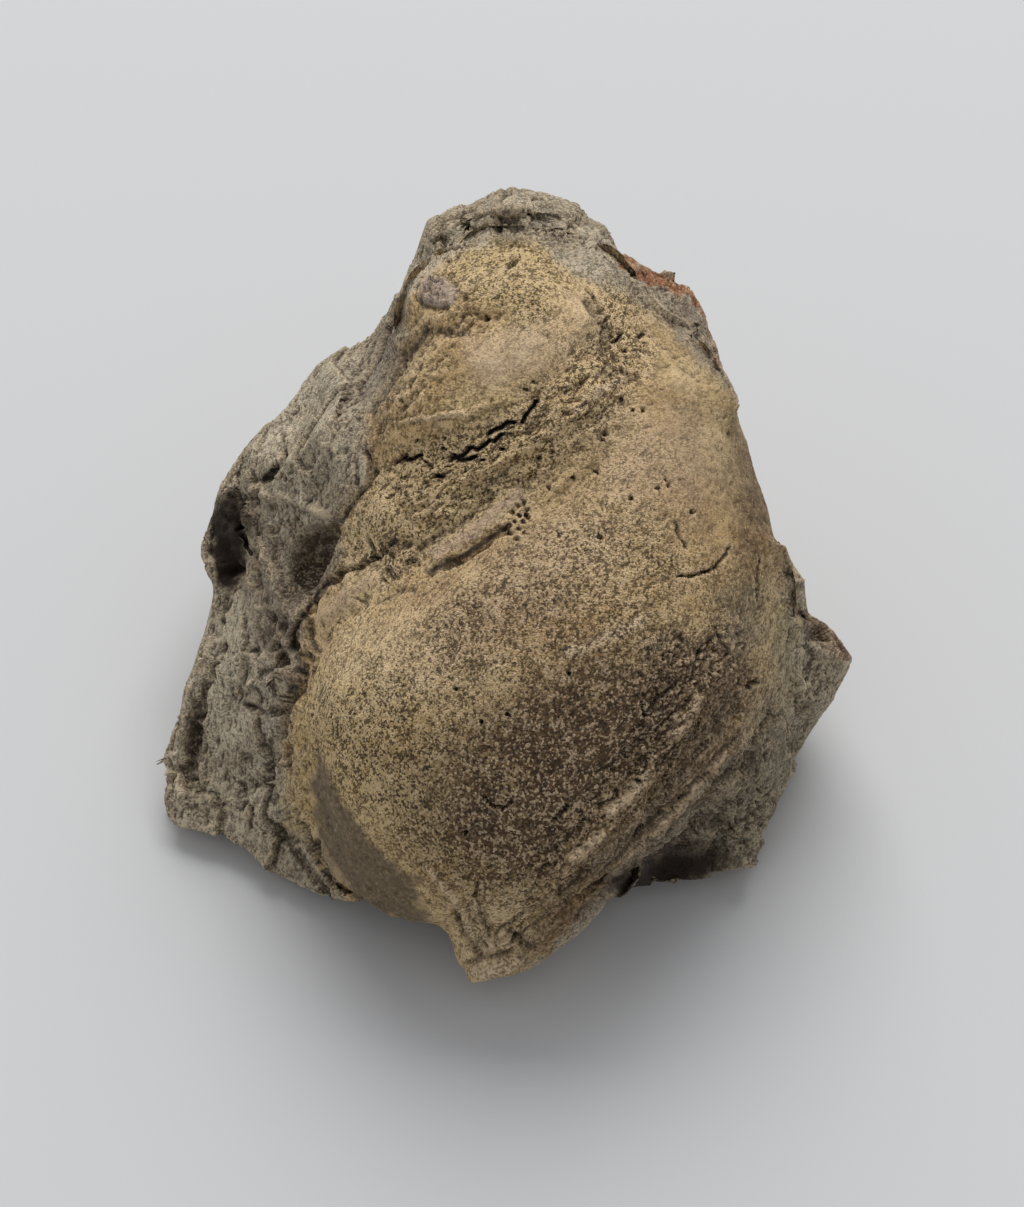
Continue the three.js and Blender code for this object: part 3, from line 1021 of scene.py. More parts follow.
# %% The two skins
FINE_CHIP = 1.2 * MM
CAST_LAYERS = [
    # all over, where rough, on the flank, kind, in grooves, size, shift
    (0.16, 0.00, 0.00, lumps, False, 4.0 * MM, 0),
    (0.05, 0.10, 0.00, lumps, False, 1.2 * MM, 3),
    (0.01, 0.20, 0.14, lumps, True, 0.7 * MM, 9),
    (0.03, 0.16, 0.12, creased, True, 0.36 * MM, 6),
    (0.08, 0.30, 0.00, pitted, True, 0.5 * MM, 5),
]
ROCK_LAYERS = [
    # all over, in patches, kind, size, shift
    (0.30, 0.00, lumps, 4.0 * MM, 0),
    (0.80, 0.00, chipped, 4.0 * MM, 0),
    (0.00, 0.16, chipped, FINE_CHIP, 1 / FINE_CHIP),
    (0.10, 0.00, lumps, 1.5 * MM, 7),
    (0.06, 0.00, creased, 0.45 * MM, 2),
    (0.00, 0.16, pitted, 0.5 * MM, 8),
]


def skin_of_cast(places, spots):
    rough = 0.5 * np.maximum(patch(spots, TURN_BAND, 30), patch(spots, CROWN_SIDE, 24))
    rough = np.maximum(rough, patch(spots, KEEL_GROUND, 40)) * (1 - calm_ground(spots))
    flank = patch(spots, FLANK, 16)
    slope = COIL_SLOPE + (FLANK_SLOPE - COIL_SLOPE) * flank
    along = combed(stirred(places, 0.5 * MM, 1.5 * MM), slope, stretch=3.5)
    heights = np.zeros(len(places))
    for all_over, if_rough, if_flank, kind, in_grooves, size, shift in CAST_LAYERS:
        height = all_over + if_rough * rough + if_flank * flank
        heights += height * kind(along if in_grooves else places, size, shift=shift)
    return heights * MM


def skin_of_rock(places, spots, squareness):
    """Calmer in the hollows and on smooth ground, and lower where the viewer sees it edge on."""
    slope = BEDDING_LEFT + (BEDDING_RIGHT - BEDDING_LEFT) * rise(places[:, 0], *BEDDING_TURNS)
    bedded = combed(stirred(places, 0.4 * MM, 2.5 * MM), slope, stretch=2.6)
    calm = 1 - np.maximum(0.6 * patch(spots, PLATEAU, 20), calm_ground(spots))
    calm *= 1 - 0.5 * strongest(stroke, spots, widened(HOLLOWS, 1.4))
    patchy = 0.5 + rise(lumps(places, 4 * MM, shift=1), -0.4, 0.4)
    heights = np.zeros(len(places))
    for all_over, in_patches, kind, size, shift in ROCK_LAYERS:
        heights += (all_over + in_patches * patchy) * kind(bedded, size, shift=shift)
    return heights * calm * (0.65 + 0.35 * rise(squareness, 0.1, 0.6)) * MM


print(len(CAST_LAYERS), "layers on the cast and", len(ROCK_LAYERS), "on the rock")

# %% [markdown]
# A knob of shell sits on the crown: a flat button with a ditch round it, and broken crystals
# on top. It is a formula of how far a point is from its middle.

# %% The knob
KNOB_MIDDLE = np.array([437, 292])
KNOB_HALF_SIZE = np.array([18, 15])
BUTTON_HEIGHT = 0.40 * MM
DITCH_DEPTH = 0.15 * MM
CRYSTAL_HEIGHT = 0.50 * MM


def knob(spots, places):
    radii = np.linalg.norm((spots - KNOB_MIDDLE) / KNOB_HALF_SIZE, axis=1)
    button = 1 - rise(radii, 0.85, 1.05)
    ditch = rise(radii, 0.95, 1.1) * (1 - rise(radii, 1.1, 1.35))
    crystals = creased(places, 0.5 * MM, shift=8)
    return BUTTON_HEIGHT * button - DITCH_DEPTH * ditch + CRYSTAL_HEIGHT * button * crystals


print("the knob is", 2 * KNOB_HALF_SIZE * SPOT / MM, "mm across")

# %% [markdown]
# ## Carving
#
# All the heights of a point are added up and the point moves by the sum. Wide marks keep their
# full height. Narrow ones are broken up by noise, so that none runs on like a wire.

# %% Add up the marks
WIDE_FORM = SHELL_RIDGES + [mark for mark in CAST_FORM + ROCK_FORM if mark[1] >= WIDE_MARK]
NARROW_FORM = [mark for mark in CAST_FORM + ROCK_FORM if mark not in WIDE_FORM + TAIL]
BREAK = 1.6 * MM


def carved(spots, wavy, places):
    """The heights of all the marks at each point."""
    broken = 0.45 + 0.8 * rise(lumps(places, BREAK, shift=4), -0.3, 0.4)
    thin = marks(shaken(spots, reach=2.5, size=9), KEEL_CREST + TAIL)
    heights = marks(wavy, NARROW_FORM) * broken + marks(wavy, WIDE_FORM)
    heights += thin * (0.4 + 0.6 * broken)
    heights += knob(shaken(spots, reach=2.5, size=7), places)
    return heights + cuts(spots, places) * CUT_DEPTH + partings(wavy) * PARTING_DEPTH


print(len(WIDE_FORM), "wide marks and", len(NARROW_FORM), "narrow ones")

# %% [markdown]
# Near the seam of the two pieces one skin changes into the other, and both pieces move the
# same way, out of the shared ground, so that the seam stays level.

# %% The ground near the seam
SEAM_BAND = (12, 24)
BLEND_ROUNDS = 10
WELL_PAST_THE_EDGE = 30

lowest = np.min(around(new_ground), axis=0)
rockiness = beyond_the_edge(np.where(owner < 0, np.nan, owner), WELL_PAST_THE_EDGE)
rockiness = evened(rockiness, 1.0, BLEND_ROUNDS)
down_slope, right_slope = np.gradient(new_ground, SURVEY_STEP * SPOT)


def level_near_the_seam(out, spots, face):
    """Normals that turn into those of the shared ground near the seam."""
    level = OUT - read_grid(right_slope, spots)[:, None] * RIGHT
    level += read_grid(down_slope, spots)[:, None] * UP
    level /= np.linalg.norm(level, axis=1)[:, None]
    near_seam = face * (1 - rise(np.abs(read_grid(beside_cast, spots)), *SEAM_BAND))
    return out + (level - out) * near_seam[:, None]


print("the rock takes up", round(100 * rockiness[owner >= 0].mean()), "% of the face")

# %% [markdown]
# Surfaces that the viewer sees edge on keep their skin but not the marks. The wall of the
# socket and the foot of the rock stay as they are, so that nothing grows into the cast or
# through the floor.

# %% Carve both pieces
QUIET_WALL = (0.4 * MM, 1.4 * MM)
QUIET_FOOT = 1 * MM

for piece, own in ((cast, 0.0), (rock, 1.0)):
    places = points_of(piece)
    spots = to_picture(places)
    wavy = shaken(spots, reach=4, size=14)
    face = on_the_face(piece, places)
    out = normals_of(piece)
    squareness = out @ OUT
    rocky = own + (read_grid(rockiness, spots) - own) * face
    heights = (1 - rocky) * skin_of_cast(places, wavy)
    heights += rocky * skin_of_rock(places, wavy, np.abs(squareness))
    seen = np.maximum(rise(squareness, 0.0, 0.3), face * rise(squareness, -0.2, 0))
    heights += carved(spots, wavy, places) * seen
    if piece == rock:
        free = reach_to(cast_skin, places)
        heights *= np.maximum(face, rise(free, *QUIET_WALL)) * rise(places[:, 2], 0, QUIET_FOOT)
    places = places + level_near_the_seam(out, spots, face) * heights[:, None]
    if piece == rock:
        places[:, 2] = np.maximum(places[:, 2], 0)
    set_points(piece, places)
    print(piece.name, "carved", round(heights.min() / MM, 2), "to", round(heights.max() / MM, 2))

# %% [markdown]
# ## Stains
#
# The colours of a find like this are stains laid over two stones: ochre where iron has
# weathered out, a pink blush where shell is left, smooth grey where the surface was polished,
# and rust on the broken rims. Some coats are painted light and shade. The dark brown on the low
# ground and the flank is partly a stain and partly painted shade where the last turn faces away
# from the lamp. The brown-grey in the rock's hollows is painted shade with some stain. The pale
# grey on the rock's left facets is painted light. Each stain has a colour and some
# patches: a strength, the width of the edge and an outline. Its mask is kept as an attribute
# on the points, so that the materials can read it and it stays on the stone from any side.

# %% Stain outlines
SANDY = [
    (409, 300), (418, 284), (437, 270), (464, 256), (485, 247), (510, 243), (536, 245), (560, 270),
    (581, 281), (609, 288), (627, 294), (642, 304), (658, 318), (672, 327), (682, 339), (693, 357),
    (714, 376), (735, 395), (758, 430), (775, 470), (778, 530), (770, 552), (766, 580), (757, 612),
    (760, 650), (752, 700), (736, 748), (702, 785), (668, 824), (637, 852), (604, 882), (560, 940),
    (505, 990), (470, 990), (440, 955), (425, 932), (396, 925), (345, 905), (318, 872), (314, 844),
    (303, 838), (284, 828), (281, 800), (286, 760), (284, 716), (290, 700), (301, 672), (295, 640),
    (303, 612), (334, 578), (345, 560), (337, 532), (351, 511), (366, 486), (376, 472), (361, 440),
    (369, 415), (386, 390), (395, 376), (404, 354), (404, 325),
]
SANDY_RIGHT = [(740, 540), (786, 540), (790, 620), (786, 690), (760, 740), (730, 740), (735, 640)]
CROWN_PATCH = [
    (437, 270), (464, 256), (480, 249), (510, 245), (534, 243), (549, 259), (562, 278), (566, 292),
    (556, 306), (546, 320), (525, 326), (511, 320), (492, 309), (478, 301), (463, 296), (453, 284),
    (445, 277),
]
LOWER_STRIP = [
    (295, 697), (303, 690), (314, 716), (317, 755), (313, 783), (316, 822), (303, 838), (287, 827),
    (283, 803), (288, 774), (300, 747),
]
GREY_PATCH = [
    (318, 755), (330, 775), (341, 803), (362, 827), (374, 847), (397, 866), (418, 879), (427, 927),
    (395, 920), (370, 906), (343, 889), (328, 866), (314, 839), (316, 803), (313, 774),
]
LOW_GROUND = [
    (470, 720), (560, 660), (650, 640), (720, 640), (735, 700), (690, 780), (600, 850), (540, 900),
    (480, 900), (420, 830), (420, 770),
]
RIM_RUST = [
    (618, 252), (634, 260), (658, 274), (682, 282), (698, 290), (706, 302), (704, 312), (694, 302),
    (676, 295), (656, 287), (638, 279), (624, 268),
]
EDGE_RUST = [(700, 300), (710, 312), (716, 335), (721, 362), (716, 362), (709, 334), (702, 316)]
TIP_RUST = [
    (798, 610), (812, 612), (832, 628), (852, 648), (850, 664), (840, 662), (824, 648), (806, 638),
]
STAINS = {
    "ochre": ("#bfa468", [
        (0.75, 16, CROWN_PATCH),
        (0.75, 10, LOWER_STRIP),
        (0.5, 70, [(300, 690), (380, 680), (480, 760), (530, 850), (540, 905), (430, 860), (330, 790)]),
        (0.3, 50, [(380, 470), (520, 420), (560, 460), (440, 560), (370, 560)]),
        (0.4, 20, [(505, 860), (540, 860), (548, 905), (520, 920), (505, 895)]),
    ]),
    "pink": ("#c0a58c", [
        (1.3, 8, PINK_RIDGE),
        (0.6, 10, [(312, 614), (345, 586), (375, 566), (380, 578), (350, 604), (326, 624)]),
        (0.5, 60, [(600, 420), (680, 400), (730, 470), (700, 520), (600, 500)]),
        (0.5, 24, SADDLE),
        (0.4, 80, [(340, 650), (440, 590), (560, 500), (640, 520), (560, 610), (440, 680)]),
        (0.6, 30, [(655, 640), (735, 640), (735, 700), (680, 770), (640, 770), (655, 700)]),
        (1.0, 16, [(470, 930), (530, 925), (525, 965), (485, 985), (470, 965)]),
        (0.5, 50, [(470, 345), (540, 320), (590, 310), (600, 340), (540, 375), (480, 385)]),
    ]),
    "grey": ("#6b5a40", [(1.3, 12, GREY_PATCH)]),
    "crystal": ("#a8958a", [
        (1.4, 4, [(418, 286), (428, 276), (445, 276), (457, 288), (454, 302), (440, 309), (422, 304)]),
    ]),
    # Dark brown: partly a real stain on the low ground and the flank, and partly painted shade where the
    # last turn faces down and away from the lamp.
    "dark_stain_and_shade": ("#52371b", [
        (0.95, 120, LOW_GROUND),
        (0.25, 80, [(420, 640), (500, 500), (600, 440), (700, 520), (720, 640), (600, 720), (480, 720)]),
        (0.12, 24, [(430, 850), (480, 880), (540, 870), (620, 850), (600, 900), (520, 970), (430, 930)]),
        (0.4, 60, [(560, 880), (640, 820), (720, 740), (740, 760), (660, 850), (570, 920)]),
        # The next three patches are painted shade on the right edge of the last turn, which turns away
        # from the lamp.
        (0.9, 60, [(730, 390), (775, 450), (790, 545), (745, 600), (722, 500), (732, 450)]),
        (0.28, 90, [(640, 370), (720, 370), (775, 460), (775, 570), (700, 570), (640, 480)]),
        (0.35, 40, [(690, 560), (770, 560), (765, 640), (700, 650)]),
        (0.8, 20, FLANK),
    ]),
    "rust": ("#93531f", [(1.6, 4, RIM_RUST), (0.9, 3, EDGE_RUST)]),
    # Brown-grey: painted shade in the rock's hollows, beside its ridges and under the rims, with some
    # darker stain in it.
    "umber_and_hollow_shade": ("#54463a", [
        (0.6, 24, [(250, 485), (275, 540), (340, 530), (335, 580), (300, 610), (302, 670), (290, 710),
                   (262, 660), (250, 600)]),
        (0.6, 16, [(190, 695), (204, 700), (200, 780), (182, 790)]),
        (0.6, 40, [(640, 840), (740, 780), (770, 700), (790, 740), (760, 870), (680, 890)]),
        (0.65, 16, [(645, 280), (700, 308), (716, 350), (722, 390), (690, 355), (655, 318), (630, 290)]),
        (0.3, 14, [(326, 612), (345, 590), (372, 574), (378, 582), (352, 604), (332, 620)]),
        (0.5, 40, [(365, 350), (410, 300), (420, 350), (385, 420), (372, 470), (350, 500), (345, 430)]),
    ]),
    "oxide": ("#4c2214", [(2.0, 3, TIP_RUST)]),
    "fresh": ("#eacf9f", [
        (0.4, 40, TURN_BAND),
        (0.4, 24, [(500, 455), (540, 420), (580, 402), (600, 420), (560, 460), (520, 480)]),
        (0.5, 40, [(530, 295), (590, 295), (612, 340), (575, 375), (530, 355)]),
        (0.4, 60, [(320, 620), (420, 595), (450, 670), (390, 730), (325, 710)]),
        (0.3, 30, CROWN_PATCH),
        (0.4, 30, PLATEAU),
        (0.7, 30, [(450, 930), (500, 900), (540, 920), (520, 970), (480, 980)]),
    ]),
    # Pale grey: painted light on the facets of the rock's left side that face the lamp.
    "silt": ("#c0b69c", [
        (1.2, 20, [(222, 610), (246, 612), (246, 660), (236, 720), (240, 760), (214, 756), (206, 700)]),
        (0.45, 40, [(200, 770), (250, 760), (290, 780), (295, 840), (250, 850), (205, 820)]),
        (0.35, 40, [(290, 400), (340, 360), (360, 420), (330, 490), (275, 480)]),
    ]),
    "green": ("#6f6a54", [
        (0.55, 30, [(640, 880), (700, 800), (745, 750), (762, 690), (785, 560), (840, 655), (765, 860)]),
        (0.3, 40, [(410, 262), (440, 200), (510, 180), (590, 200), (640, 260), (560, 235), (480, 240)]),
        (0.6, 30, [(712, 585), (765, 580), (770, 640), (735, 660), (712, 635)]),
        # On the right shoulder this tint also stands for shade: painted shade on the edge that turns
        # from the lamp, partly a greenish tint.
        (0.3, 50, [(640, 310), (700, 350), (760, 440), (770, 520), (720, 480), (670, 400)]),
    ]),
}
# Painted shadow: near-black patches under the overhanging rim at the lower right and in the deep hollow
# of the rock.
UNDERCUT_SHADOWS = [
    (1.1, 40, [(606, 884), (640, 862), (665, 850), (712, 846), (725, 862), (690, 895), (625, 905)]),
    (1.4, 16, [(214, 500), (232, 494), (244, 520), (244, 556), (234, 586), (222, 584), (212, 545)]),
]
COARSE_GROUND = [
    (1.0, 120, LOW_GROUND),
    (0.8, 60, [(310, 690), (400, 660), (470, 720), (540, 850), (540, 930), (430, 870), (330, 780)]),
    (0.7, 30, TURN_BAND),
    (0.6, 24, CROWN_PATCH),
    (0.6, 60, [(440, 600), (600, 500), (700, 560), (640, 660), (480, 740), (380, 700)]),
]
PALE_STREAKS_AND_HIGHLIGHT = [
    (0.8, 8, RIDGE_PATHS[0]),
    (1.0, 10, RIDGE_PATHS[1]),
    (1.0, 8, RIDGE_PATHS[2]),
    (0.9, 5, TAIL_PATHS[0]),
    (0.8, 4, TAIL_PATHS[1]),
    (1.2, 8, TAIL_PATHS[2]),
    (0.8, 10, [(569, 653), (600, 640), (640, 622)]),
    (1.0, 4, [(736, 741), (702, 781), (667, 820), (637, 850), (605, 879)]),
    (0.7, 3, [(716, 744), (688, 769), (653, 807), (623, 836), (590, 866)]),
    (0.8, 7, [(575, 412), (600, 392), (622, 380)]),
    (0.8, 4, [(404, 421), (430, 417), (466, 414)]),
    (0.7, 4, [(440, 296), (450, 302)]),
    (0.6, 3, [(430, 286), (438, 290)]),
    # Painted highlight on the top of the spire, which faces the lamp.
    (0.7, 40, [(490, 358), (525, 350)]),
    (0.5, 4, [(398, 347), (426, 322)]),
]
DARK_STREAKS = widened([mark for mark in CAST_FORM + ROCK_FORM + KEEL_CREST if mark[0] < -0.25], 1)
print(len(STAINS), "stains")

# %% [markdown]
# A hollow is where a point lies below the middle of its neighbours. Hollows get painted shade, and the
# crests between are worn pale, so that measure is a mask too.

# %% Hollows and crests
HOLLOW_DEPTH = 0.10 * MM


def sunk(piece, rounds):
    """How far each point lies below its surroundings, along its normal."""
    pairs = edges_of(piece)
    one, other = pairs.T
    count = np.bincount(pairs.reshape(-1), minlength=len(piece.data.vertices))[:, None]
    places = points_of(piece)
    evened_out = places.copy()
    for _ in range(rounds):
        total = np.zeros_like(evened_out)
        np.add.at(total, one, evened_out[other])
        np.add.at(total, other, evened_out[one])
        evened_out = 0.5 * evened_out + 0.5 * total / count
    return ((evened_out - places) * normals_of(piece)).sum(1)


depth = {piece.name: sunk(piece, rounds=8) for piece in (cast, rock)}
print("deepest hollows:", {name: round(sink.max() / MM, 2) for name, sink in depth.items()}, "mm")

# %% [markdown]
# Cracks show nearly black, because no light comes out of them. So do the deep crevice and the
# shadows between the flakes of the crest, which noise breaks up here and there.

# %% Put the masks on the points
STAIN_MOST = 2


def put_mask(piece, name, values):
    mask = piece.data.attributes.new(name, "FLOAT", "POINT")
    mask.data.foreach_set("value", np.clip(values, 0, STAIN_MOST).astype(np.float32))


def black_cuts(spots, close, places):
    """1 in cracks and partings, and less in the crevice and between the flakes of the crest."""
    crevice = rise(strongest(stroke, close, widened(CREVICES, 1)), 0.3, 0.9)
    shadows = widened([mark for mark in KEEL_CREST if mark[0] < 0], 1)
    shadow = rise(strongest(stroke, close, shadows), 0.3, 0.9)
    shadow *= rise(lumps(places, BREAK, shift=4), -0.4, 0.2)
    deep = np.maximum(cuts(spots, places), rise(partings(close), 0.2, 0.7))
    return np.max([deep, 0.75 * crevice, 0.6 * shadow], axis=0)


def grit_of(spots, close, facing):
    """How much the grains show: less where the stone is calm and along the crest."""
    coarse = strongest(patch, spots, COARSE_GROUND) * (1 - 0.7 * patch(spots, FLANK, 16))
    crest = strongest(stroke, close, widened(KEEL_CREST, 1))
    calm = np.maximum(0.65 * calm_ground(spots), 0.6 * crest)
    return (0.5 + 0.5 * coarse * facing) * (1 - calm)


def stain(piece, sandy_elsewhere):
    places = points_of(piece)
    true_spots = to_picture(places)
    spots = shaken(true_spots, reach=7, size=12)
    close = shaken(true_spots, reach=2.5, size=9)
    facing = rise(normals_of(piece) @ OUT, -0.1, 0.15)
    sandy = np.maximum(patch(spots, SANDY, 12), patch(spots, SANDY_RIGHT, 60))
    put_mask(piece, "sandy", sandy * facing + sandy_elsewhere * (1 - facing))
    for name, (_, patches) in STAINS.items():
        put_mask(piece, name, strongest(patch, spots, patches) * facing)
    # Painted shadow under the rim and in the deep hollow.
    put_mask(piece, "painted_shadow", strongest(patch, spots, UNDERCUT_SHADOWS) * facing)
    put_mask(piece, "pale_streaks_and_highlight", strongest(stroke, close, PALE_STREAKS_AND_HIGHLIGHT) * facing)
    put_mask(piece, "shade", strongest(stroke, close, DARK_STREAKS) * facing)
    put_mask(piece, "cut", black_cuts(true_spots, close, places) * facing)
    # Painted shade: darker where a point lies below its neighbours, less so in the band between the
    # turns.
    hollow_shade = rise(depth[piece.name], 0.1 * HOLLOW_DEPTH, HOLLOW_DEPTH)
    put_mask(piece, "hollow_shade", hollow_shade * (1 - 0.6 * patch(spots, TURN_BAND, 40)))
    put_mask(piece, "worn", rise(-depth[piece.name], 0.1 * HOLLOW_DEPTH, HOLLOW_DEPTH))
    put_mask(piece, "grit", grit_of(spots, close, facing))
    print(piece.name, "masks:", [layer.name for layer in piece.data.attributes][-6:])


stain(cast, sandy_elsewhere=1.0)
stain(rock, sandy_elsewhere=0.0)

# %% [markdown]
# ## The two stones
#
# The cast is a fine, weathered sandstone: quartz grains about a fifth of a millimetre across
# in a limy cement, dull and slightly sparkling, each grain a touch lighter or darker than the
# next. The matrix is siltstone: finer, greyer, and broken rather than weathered. A skin of the
# sandstone runs a few millimetres over the siltstone, so one recipe makes both finishes and
# the sandy mask says how much of each shows.

# %% Colours and nodes
def colour(hex_code):
    """An sRGB hex colour as linear light."""
    channels = [int(hex_code[i:i + 2], 16) / 255 for i in (1, 3, 5)]
    linear = [c / 12.92 if c <= 0.04045 else ((c + 0.055) / 1.055) ** 2.4 for c in channels]
    return (*linear, 1.0)


def add(tree, kind, sockets, **settings):
    """Adds a node, makes its settings, and sets its sockets or links them to other nodes."""
    node = tree.nodes.new("ShaderNode" + kind)
    for setting, value in settings.items():
        setattr(node, setting, value)
    for socket, value in sockets.items():
        if isinstance(value, bpy.types.Node):
            value = value.outputs[0]
        if isinstance(value, bpy.types.NodeSocket):
            tree.links.new(value, node.inputs[socket])
        else:
            node.inputs[socket].default_value = value
    return node


FACTOR, FIRST, SECOND, MIXED = 0, 6, 7, 2
SAND_LIGHT = "#e0c38e"
SAND_DARK = "#b99864"
SILT_LIGHT = "#c8bca4"
SILT_DARK = "#998c74"
SOIL_AND_SHADE = "#2c1f11"
CRACK = "#150f09"
PALE = "#e0c6a2"
BETWEEN_GRAINS = "#4a3519"
GRAIN = 0.17 * MM
CLUMP = 0.33 * MM
PIT = 0.22 * MM
STONE_IOR = 1.54
STONE_ROUGHNESS = 0.88
print("a grain is", GRAIN / SPOT, "spots")

# %% [markdown]
# The material is built in the order that the stone got its look: the body colour with its
# mottling, the stains over it, painted shade along the grooves and in the hollows, and wear on
# the crests. Each is a coat of colour, laid over the last one by its mask times its strength.

# %% The body and its coats
STAIN_PATCH = 1.6 * MM


def mottle(tree, size, low, high, to_low=0.0, to_high=1.0, detail=3.0):
    """Soft clouds of this size, stretched from their middle values to the two ends."""
    place = add(tree, "TexCoord", {}).outputs["Object"]
    clouds = add(tree, "TexNoise", {"Vector": place, "Scale": 1 / size, "Detail": detail,
                                    "Roughness": 0.6})
    return add(tree, "MapRange", {"Value": clouds, "From Min": low, "From Max": high,
                                  "To Min": to_low, "To Max": to_high})


def coated(tree, body, coats):
    """The body colour under some coats, each a mask's name or a node, a strength and a colour."""
    for mask, strength, coat in coats:
        if isinstance(mask, str):
            mask = add(tree, "Attribute", {}, attribute_name=mask).outputs["Fac"]
        share = add(tree, "Math", {0: mask, 1: strength}, operation="MULTIPLY")
        body = add(tree, "Mix", {FACTOR: share, FIRST: body, SECOND: coat},
                   data_type="RGBA").outputs[MIXED]
    return body


def stained(tree):
    """Sandstone and siltstone with their stains, painted light and shade, and wear."""
    sand_mottle = mottle(tree, 6 * MM, 0.35, 0.65)
    silt_mottle = mottle(tree, 4 * MM, 0.35, 0.65)
    sand = coated(tree, colour(SAND_DARK), [(sand_mottle, 1.0, colour(SAND_LIGHT))])
    silt = coated(tree, colour(SILT_DARK), [(silt_mottle, 1.0, colour(SILT_LIGHT))])
    patchy = mottle(tree, STAIN_PATCH, 0.3, 0.55, to_low=0.6)
    coats = [("sandy", 1.0, sand)]
    coats += [(name, patchy, colour(hex_code)) for name, (hex_code, _) in STAINS.items()]
    # Pale streaks, with the painted highlight of the spire among them, and painted shade along the
    # deeper grooves.
    coats += [("pale_streaks_and_highlight", patchy, colour(PALE)), ("shade", 0.65, colour(SOIL_AND_SHADE))]
    # Painted shade in the hollows, and pale wear on the crests.
    coats += [("hollow_shade", 0.85, colour(SOIL_AND_SHADE)), ("worn", 0.25, colour(PALE))]
    print(len(coats), "coats")
    return coated(tree, silt, coats)


print("stains break up in patches of", round(STAIN_PATCH / MM, 1), "mm")

# %% [markdown]
# Last comes the grain, which both tints and roughens. It is two Voronoi patterns added up: the
# grains, and clumps about twice their size, because real grains part in clumps. Where the sum
# is low, the dark cement between the grains shows, and where it is high, a pale grain. The
# real grains of the siltstone are too fine to show, so they are drawn as coarse as the sand's.

# %% The stone material
CLUMP_SHARE = 0.55
CEMENT_TONE = (0.42, 0.25)
PALE_TONE = (0.56, 0.78)
PALE_SHARE = 0.6
PIT_TONE = (0.545, 0.60)
PIT_SHARE = 0.9
GRAIN_HEIGHT = 0.16 * MM


def stone(name):
    material = bpy.data.materials.new(name)
    material.use_nodes = True
    tree = material.node_tree
    tree.nodes.clear()
    place = add(tree, "TexCoord", {}).outputs["Object"]
    grains = add(tree, "TexVoronoi", {"Vector": place, "Scale": 1 / GRAIN}, feature="F1")
    clumps = add(tree, "TexVoronoi", {"Vector": place, "Scale": 1 / CLUMP}, feature="F1")
    lean = mottle(tree, 1.2 * MM, 0.3, 0.7, to_low=-0.47, to_high=-0.09)
    leaning = add(tree, "Math", {0: grains.outputs["Color"], 1: lean}, operation="ADD")
    tone = add(tree, "Math", {0: clumps.outputs["Color"], 1: CLUMP_SHARE, 2: leaning},
               operation="MULTIPLY_ADD")
    cement = add(tree, "MapRange", {"Value": tone, "From Min": CEMENT_TONE[0],
                                    "From Max": CEMENT_TONE[1]})
    pale_grains = add(tree, "MapRange", {"Value": tone, "From Min": PALE_TONE[0],
                                         "From Max": PALE_TONE[1], "To Max": PALE_SHARE})
    few = mottle(tree, 2.5 * MM, 0.35, 0.6, to_low=0.08, to_high=0.0)
    peaks = add(tree, "Math", {0: mottle(tree, PIT, 0, 1, detail=2), 1: few}, operation="SUBTRACT")
    pits = add(tree, "MapRange", {"Value": peaks, "From Min": PIT_TONE[0], "From Max": PIT_TONE[1],
                                  "To Max": PIT_SHARE})
    body = coated(tree, stained(tree), [
        ("grit", cement, colour(BETWEEN_GRAINS)),
        ("grit", pale_grains, colour(PALE)),
        ("grit", pits, colour(SOIL_AND_SHADE)),
        # Painted shadow under the rim and in the deep hollow of the rock.
        ("painted_shadow", 1.0, colour(SOIL_AND_SHADE)),
        ("cut", 1.0, colour(CRACK)),
    ])

    grit = add(tree, "Attribute", {}, attribute_name="grit").outputs["Fac"]
    domes = add(tree, "Math", {0: grains.outputs["Color"], 1: grains.outputs["Distance"]},
                operation="SUBTRACT")
    pitted_domes = add(tree, "Math", {0: domes, 1: pits}, operation="SUBTRACT")
    height = add(tree, "Math", {0: pitted_domes, 1: grit}, operation="MULTIPLY")
    bump = add(tree, "Bump", {"Height": height, "Strength": 1.0, "Distance": GRAIN_HEIGHT})
    shader = add(tree, "BsdfPrincipled", {"Base Color": body, "Normal": bump, "IOR": STONE_IOR,
                                          "Roughness": STONE_ROUGHNESS})
    add(tree, "OutputMaterial", {"Surface": shader})
    print(name, len(tree.nodes), "nodes")
    return material


cast.data.materials.append(stone("weathered sandstone"))
rock.data.materials.append(stone("broken siltstone"))
for piece in (cast, rock):
    make_active(piece)
    bpy.ops.object.shade_smooth()

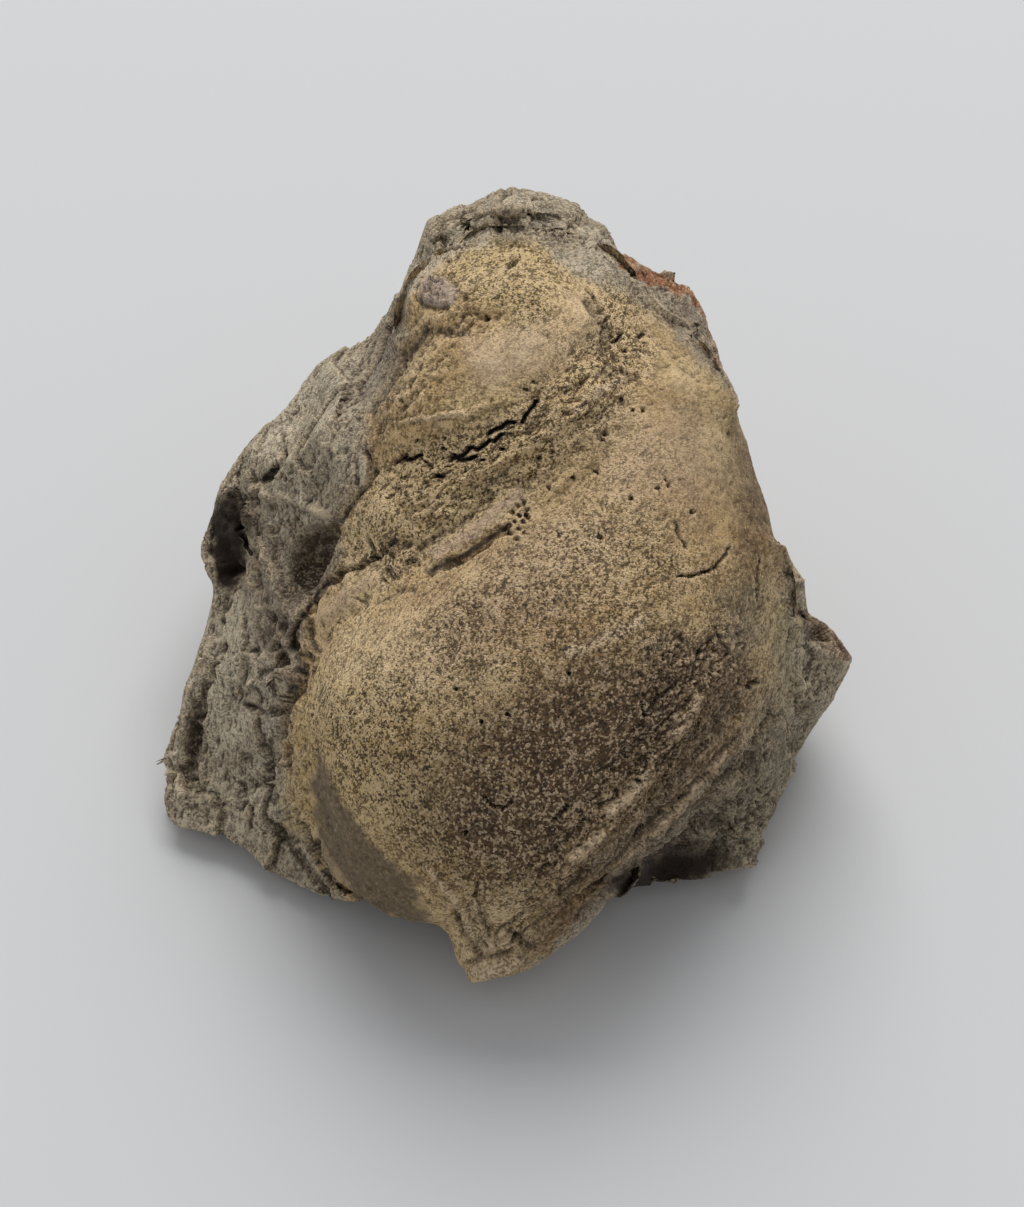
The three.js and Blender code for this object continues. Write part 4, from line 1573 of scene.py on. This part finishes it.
# %% [markdown]
# ## Whose place each piece takes
#
# Each finished mesh stands for one solid of the model, which stays behind for collision, hidden.
# Nothing moves, so both ride on the one body.

# %% Ride and replace
for piece, node, slot in (
    (cast, "steinkern", "cast_sandstone"),
    (rock, "matrix", "matrix_siltstone"),
):
    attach(piece, "root")
    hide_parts(node)
    print(piece.name, "takes the place of", node)

# %% [markdown]
# ## Floor
#
# The specimen lies on a sheet of matt white paper, large enough to have no edge in the view.

# %% Floor
FLOOR_SIZE = 2

bpy.ops.object.select_all(action="DESELECT")
bpy.ops.mesh.primitive_plane_add(size=FLOOR_SIZE, location=(0, 0, 0))
floor = bpy.context.object
floor.name = "floor"
sheet = bpy.data.materials.new("matt white paper")
sheet.use_nodes = True
paper = sheet.node_tree.nodes["Principled BSDF"]
paper.inputs["Base Color"].default_value = colour("#cdcecf")
paper.inputs["Roughness"].default_value = 0.9
floor.data.materials.append(sheet)
print("the floor is", floor.dimensions[0], "m wide")

# %% [markdown]
# ## Light
#
# The light is that of a room. Some comes from all round, and most from a wide lamp above and
# behind, so the crown and the shoulders are bright and the low side of the last turn is in its
# own shade.

# %% Light
ROOM_STRENGTH = 0.50
LAMP_POWER = 15.0
LAMP_SIZE = 1.1
LAMP_PLACE = (0.06, 0.80, 1.04)
LAMP_AIM = Vector((0, 0, 0.02))

world = bpy.data.worlds.new("room")
bpy.context.scene.world = world
world.use_nodes = True
room = world.node_tree.nodes["Background"]
room.inputs["Color"].default_value = colour("#f4f6fa")
room.inputs["Strength"].default_value = ROOM_STRENGTH

lamp_data = bpy.data.lights.new("window", "AREA")
lamp_data.energy = LAMP_POWER
lamp_data.size = LAMP_SIZE
lamp_data.color = colour("#fffdfb")[:3]
lamp = bpy.data.objects.new("window", lamp_data)
bpy.context.scene.collection.objects.link(lamp)
lamp.location = LAMP_PLACE
towards = LAMP_AIM - lamp.location
lamp.rotation_euler = towards.to_track_quat("-Z", "Y").to_euler()
bpy.context.scene.view_settings.view_transform = "Standard"
print("lamp is", round(towards.length, 2), "m away")
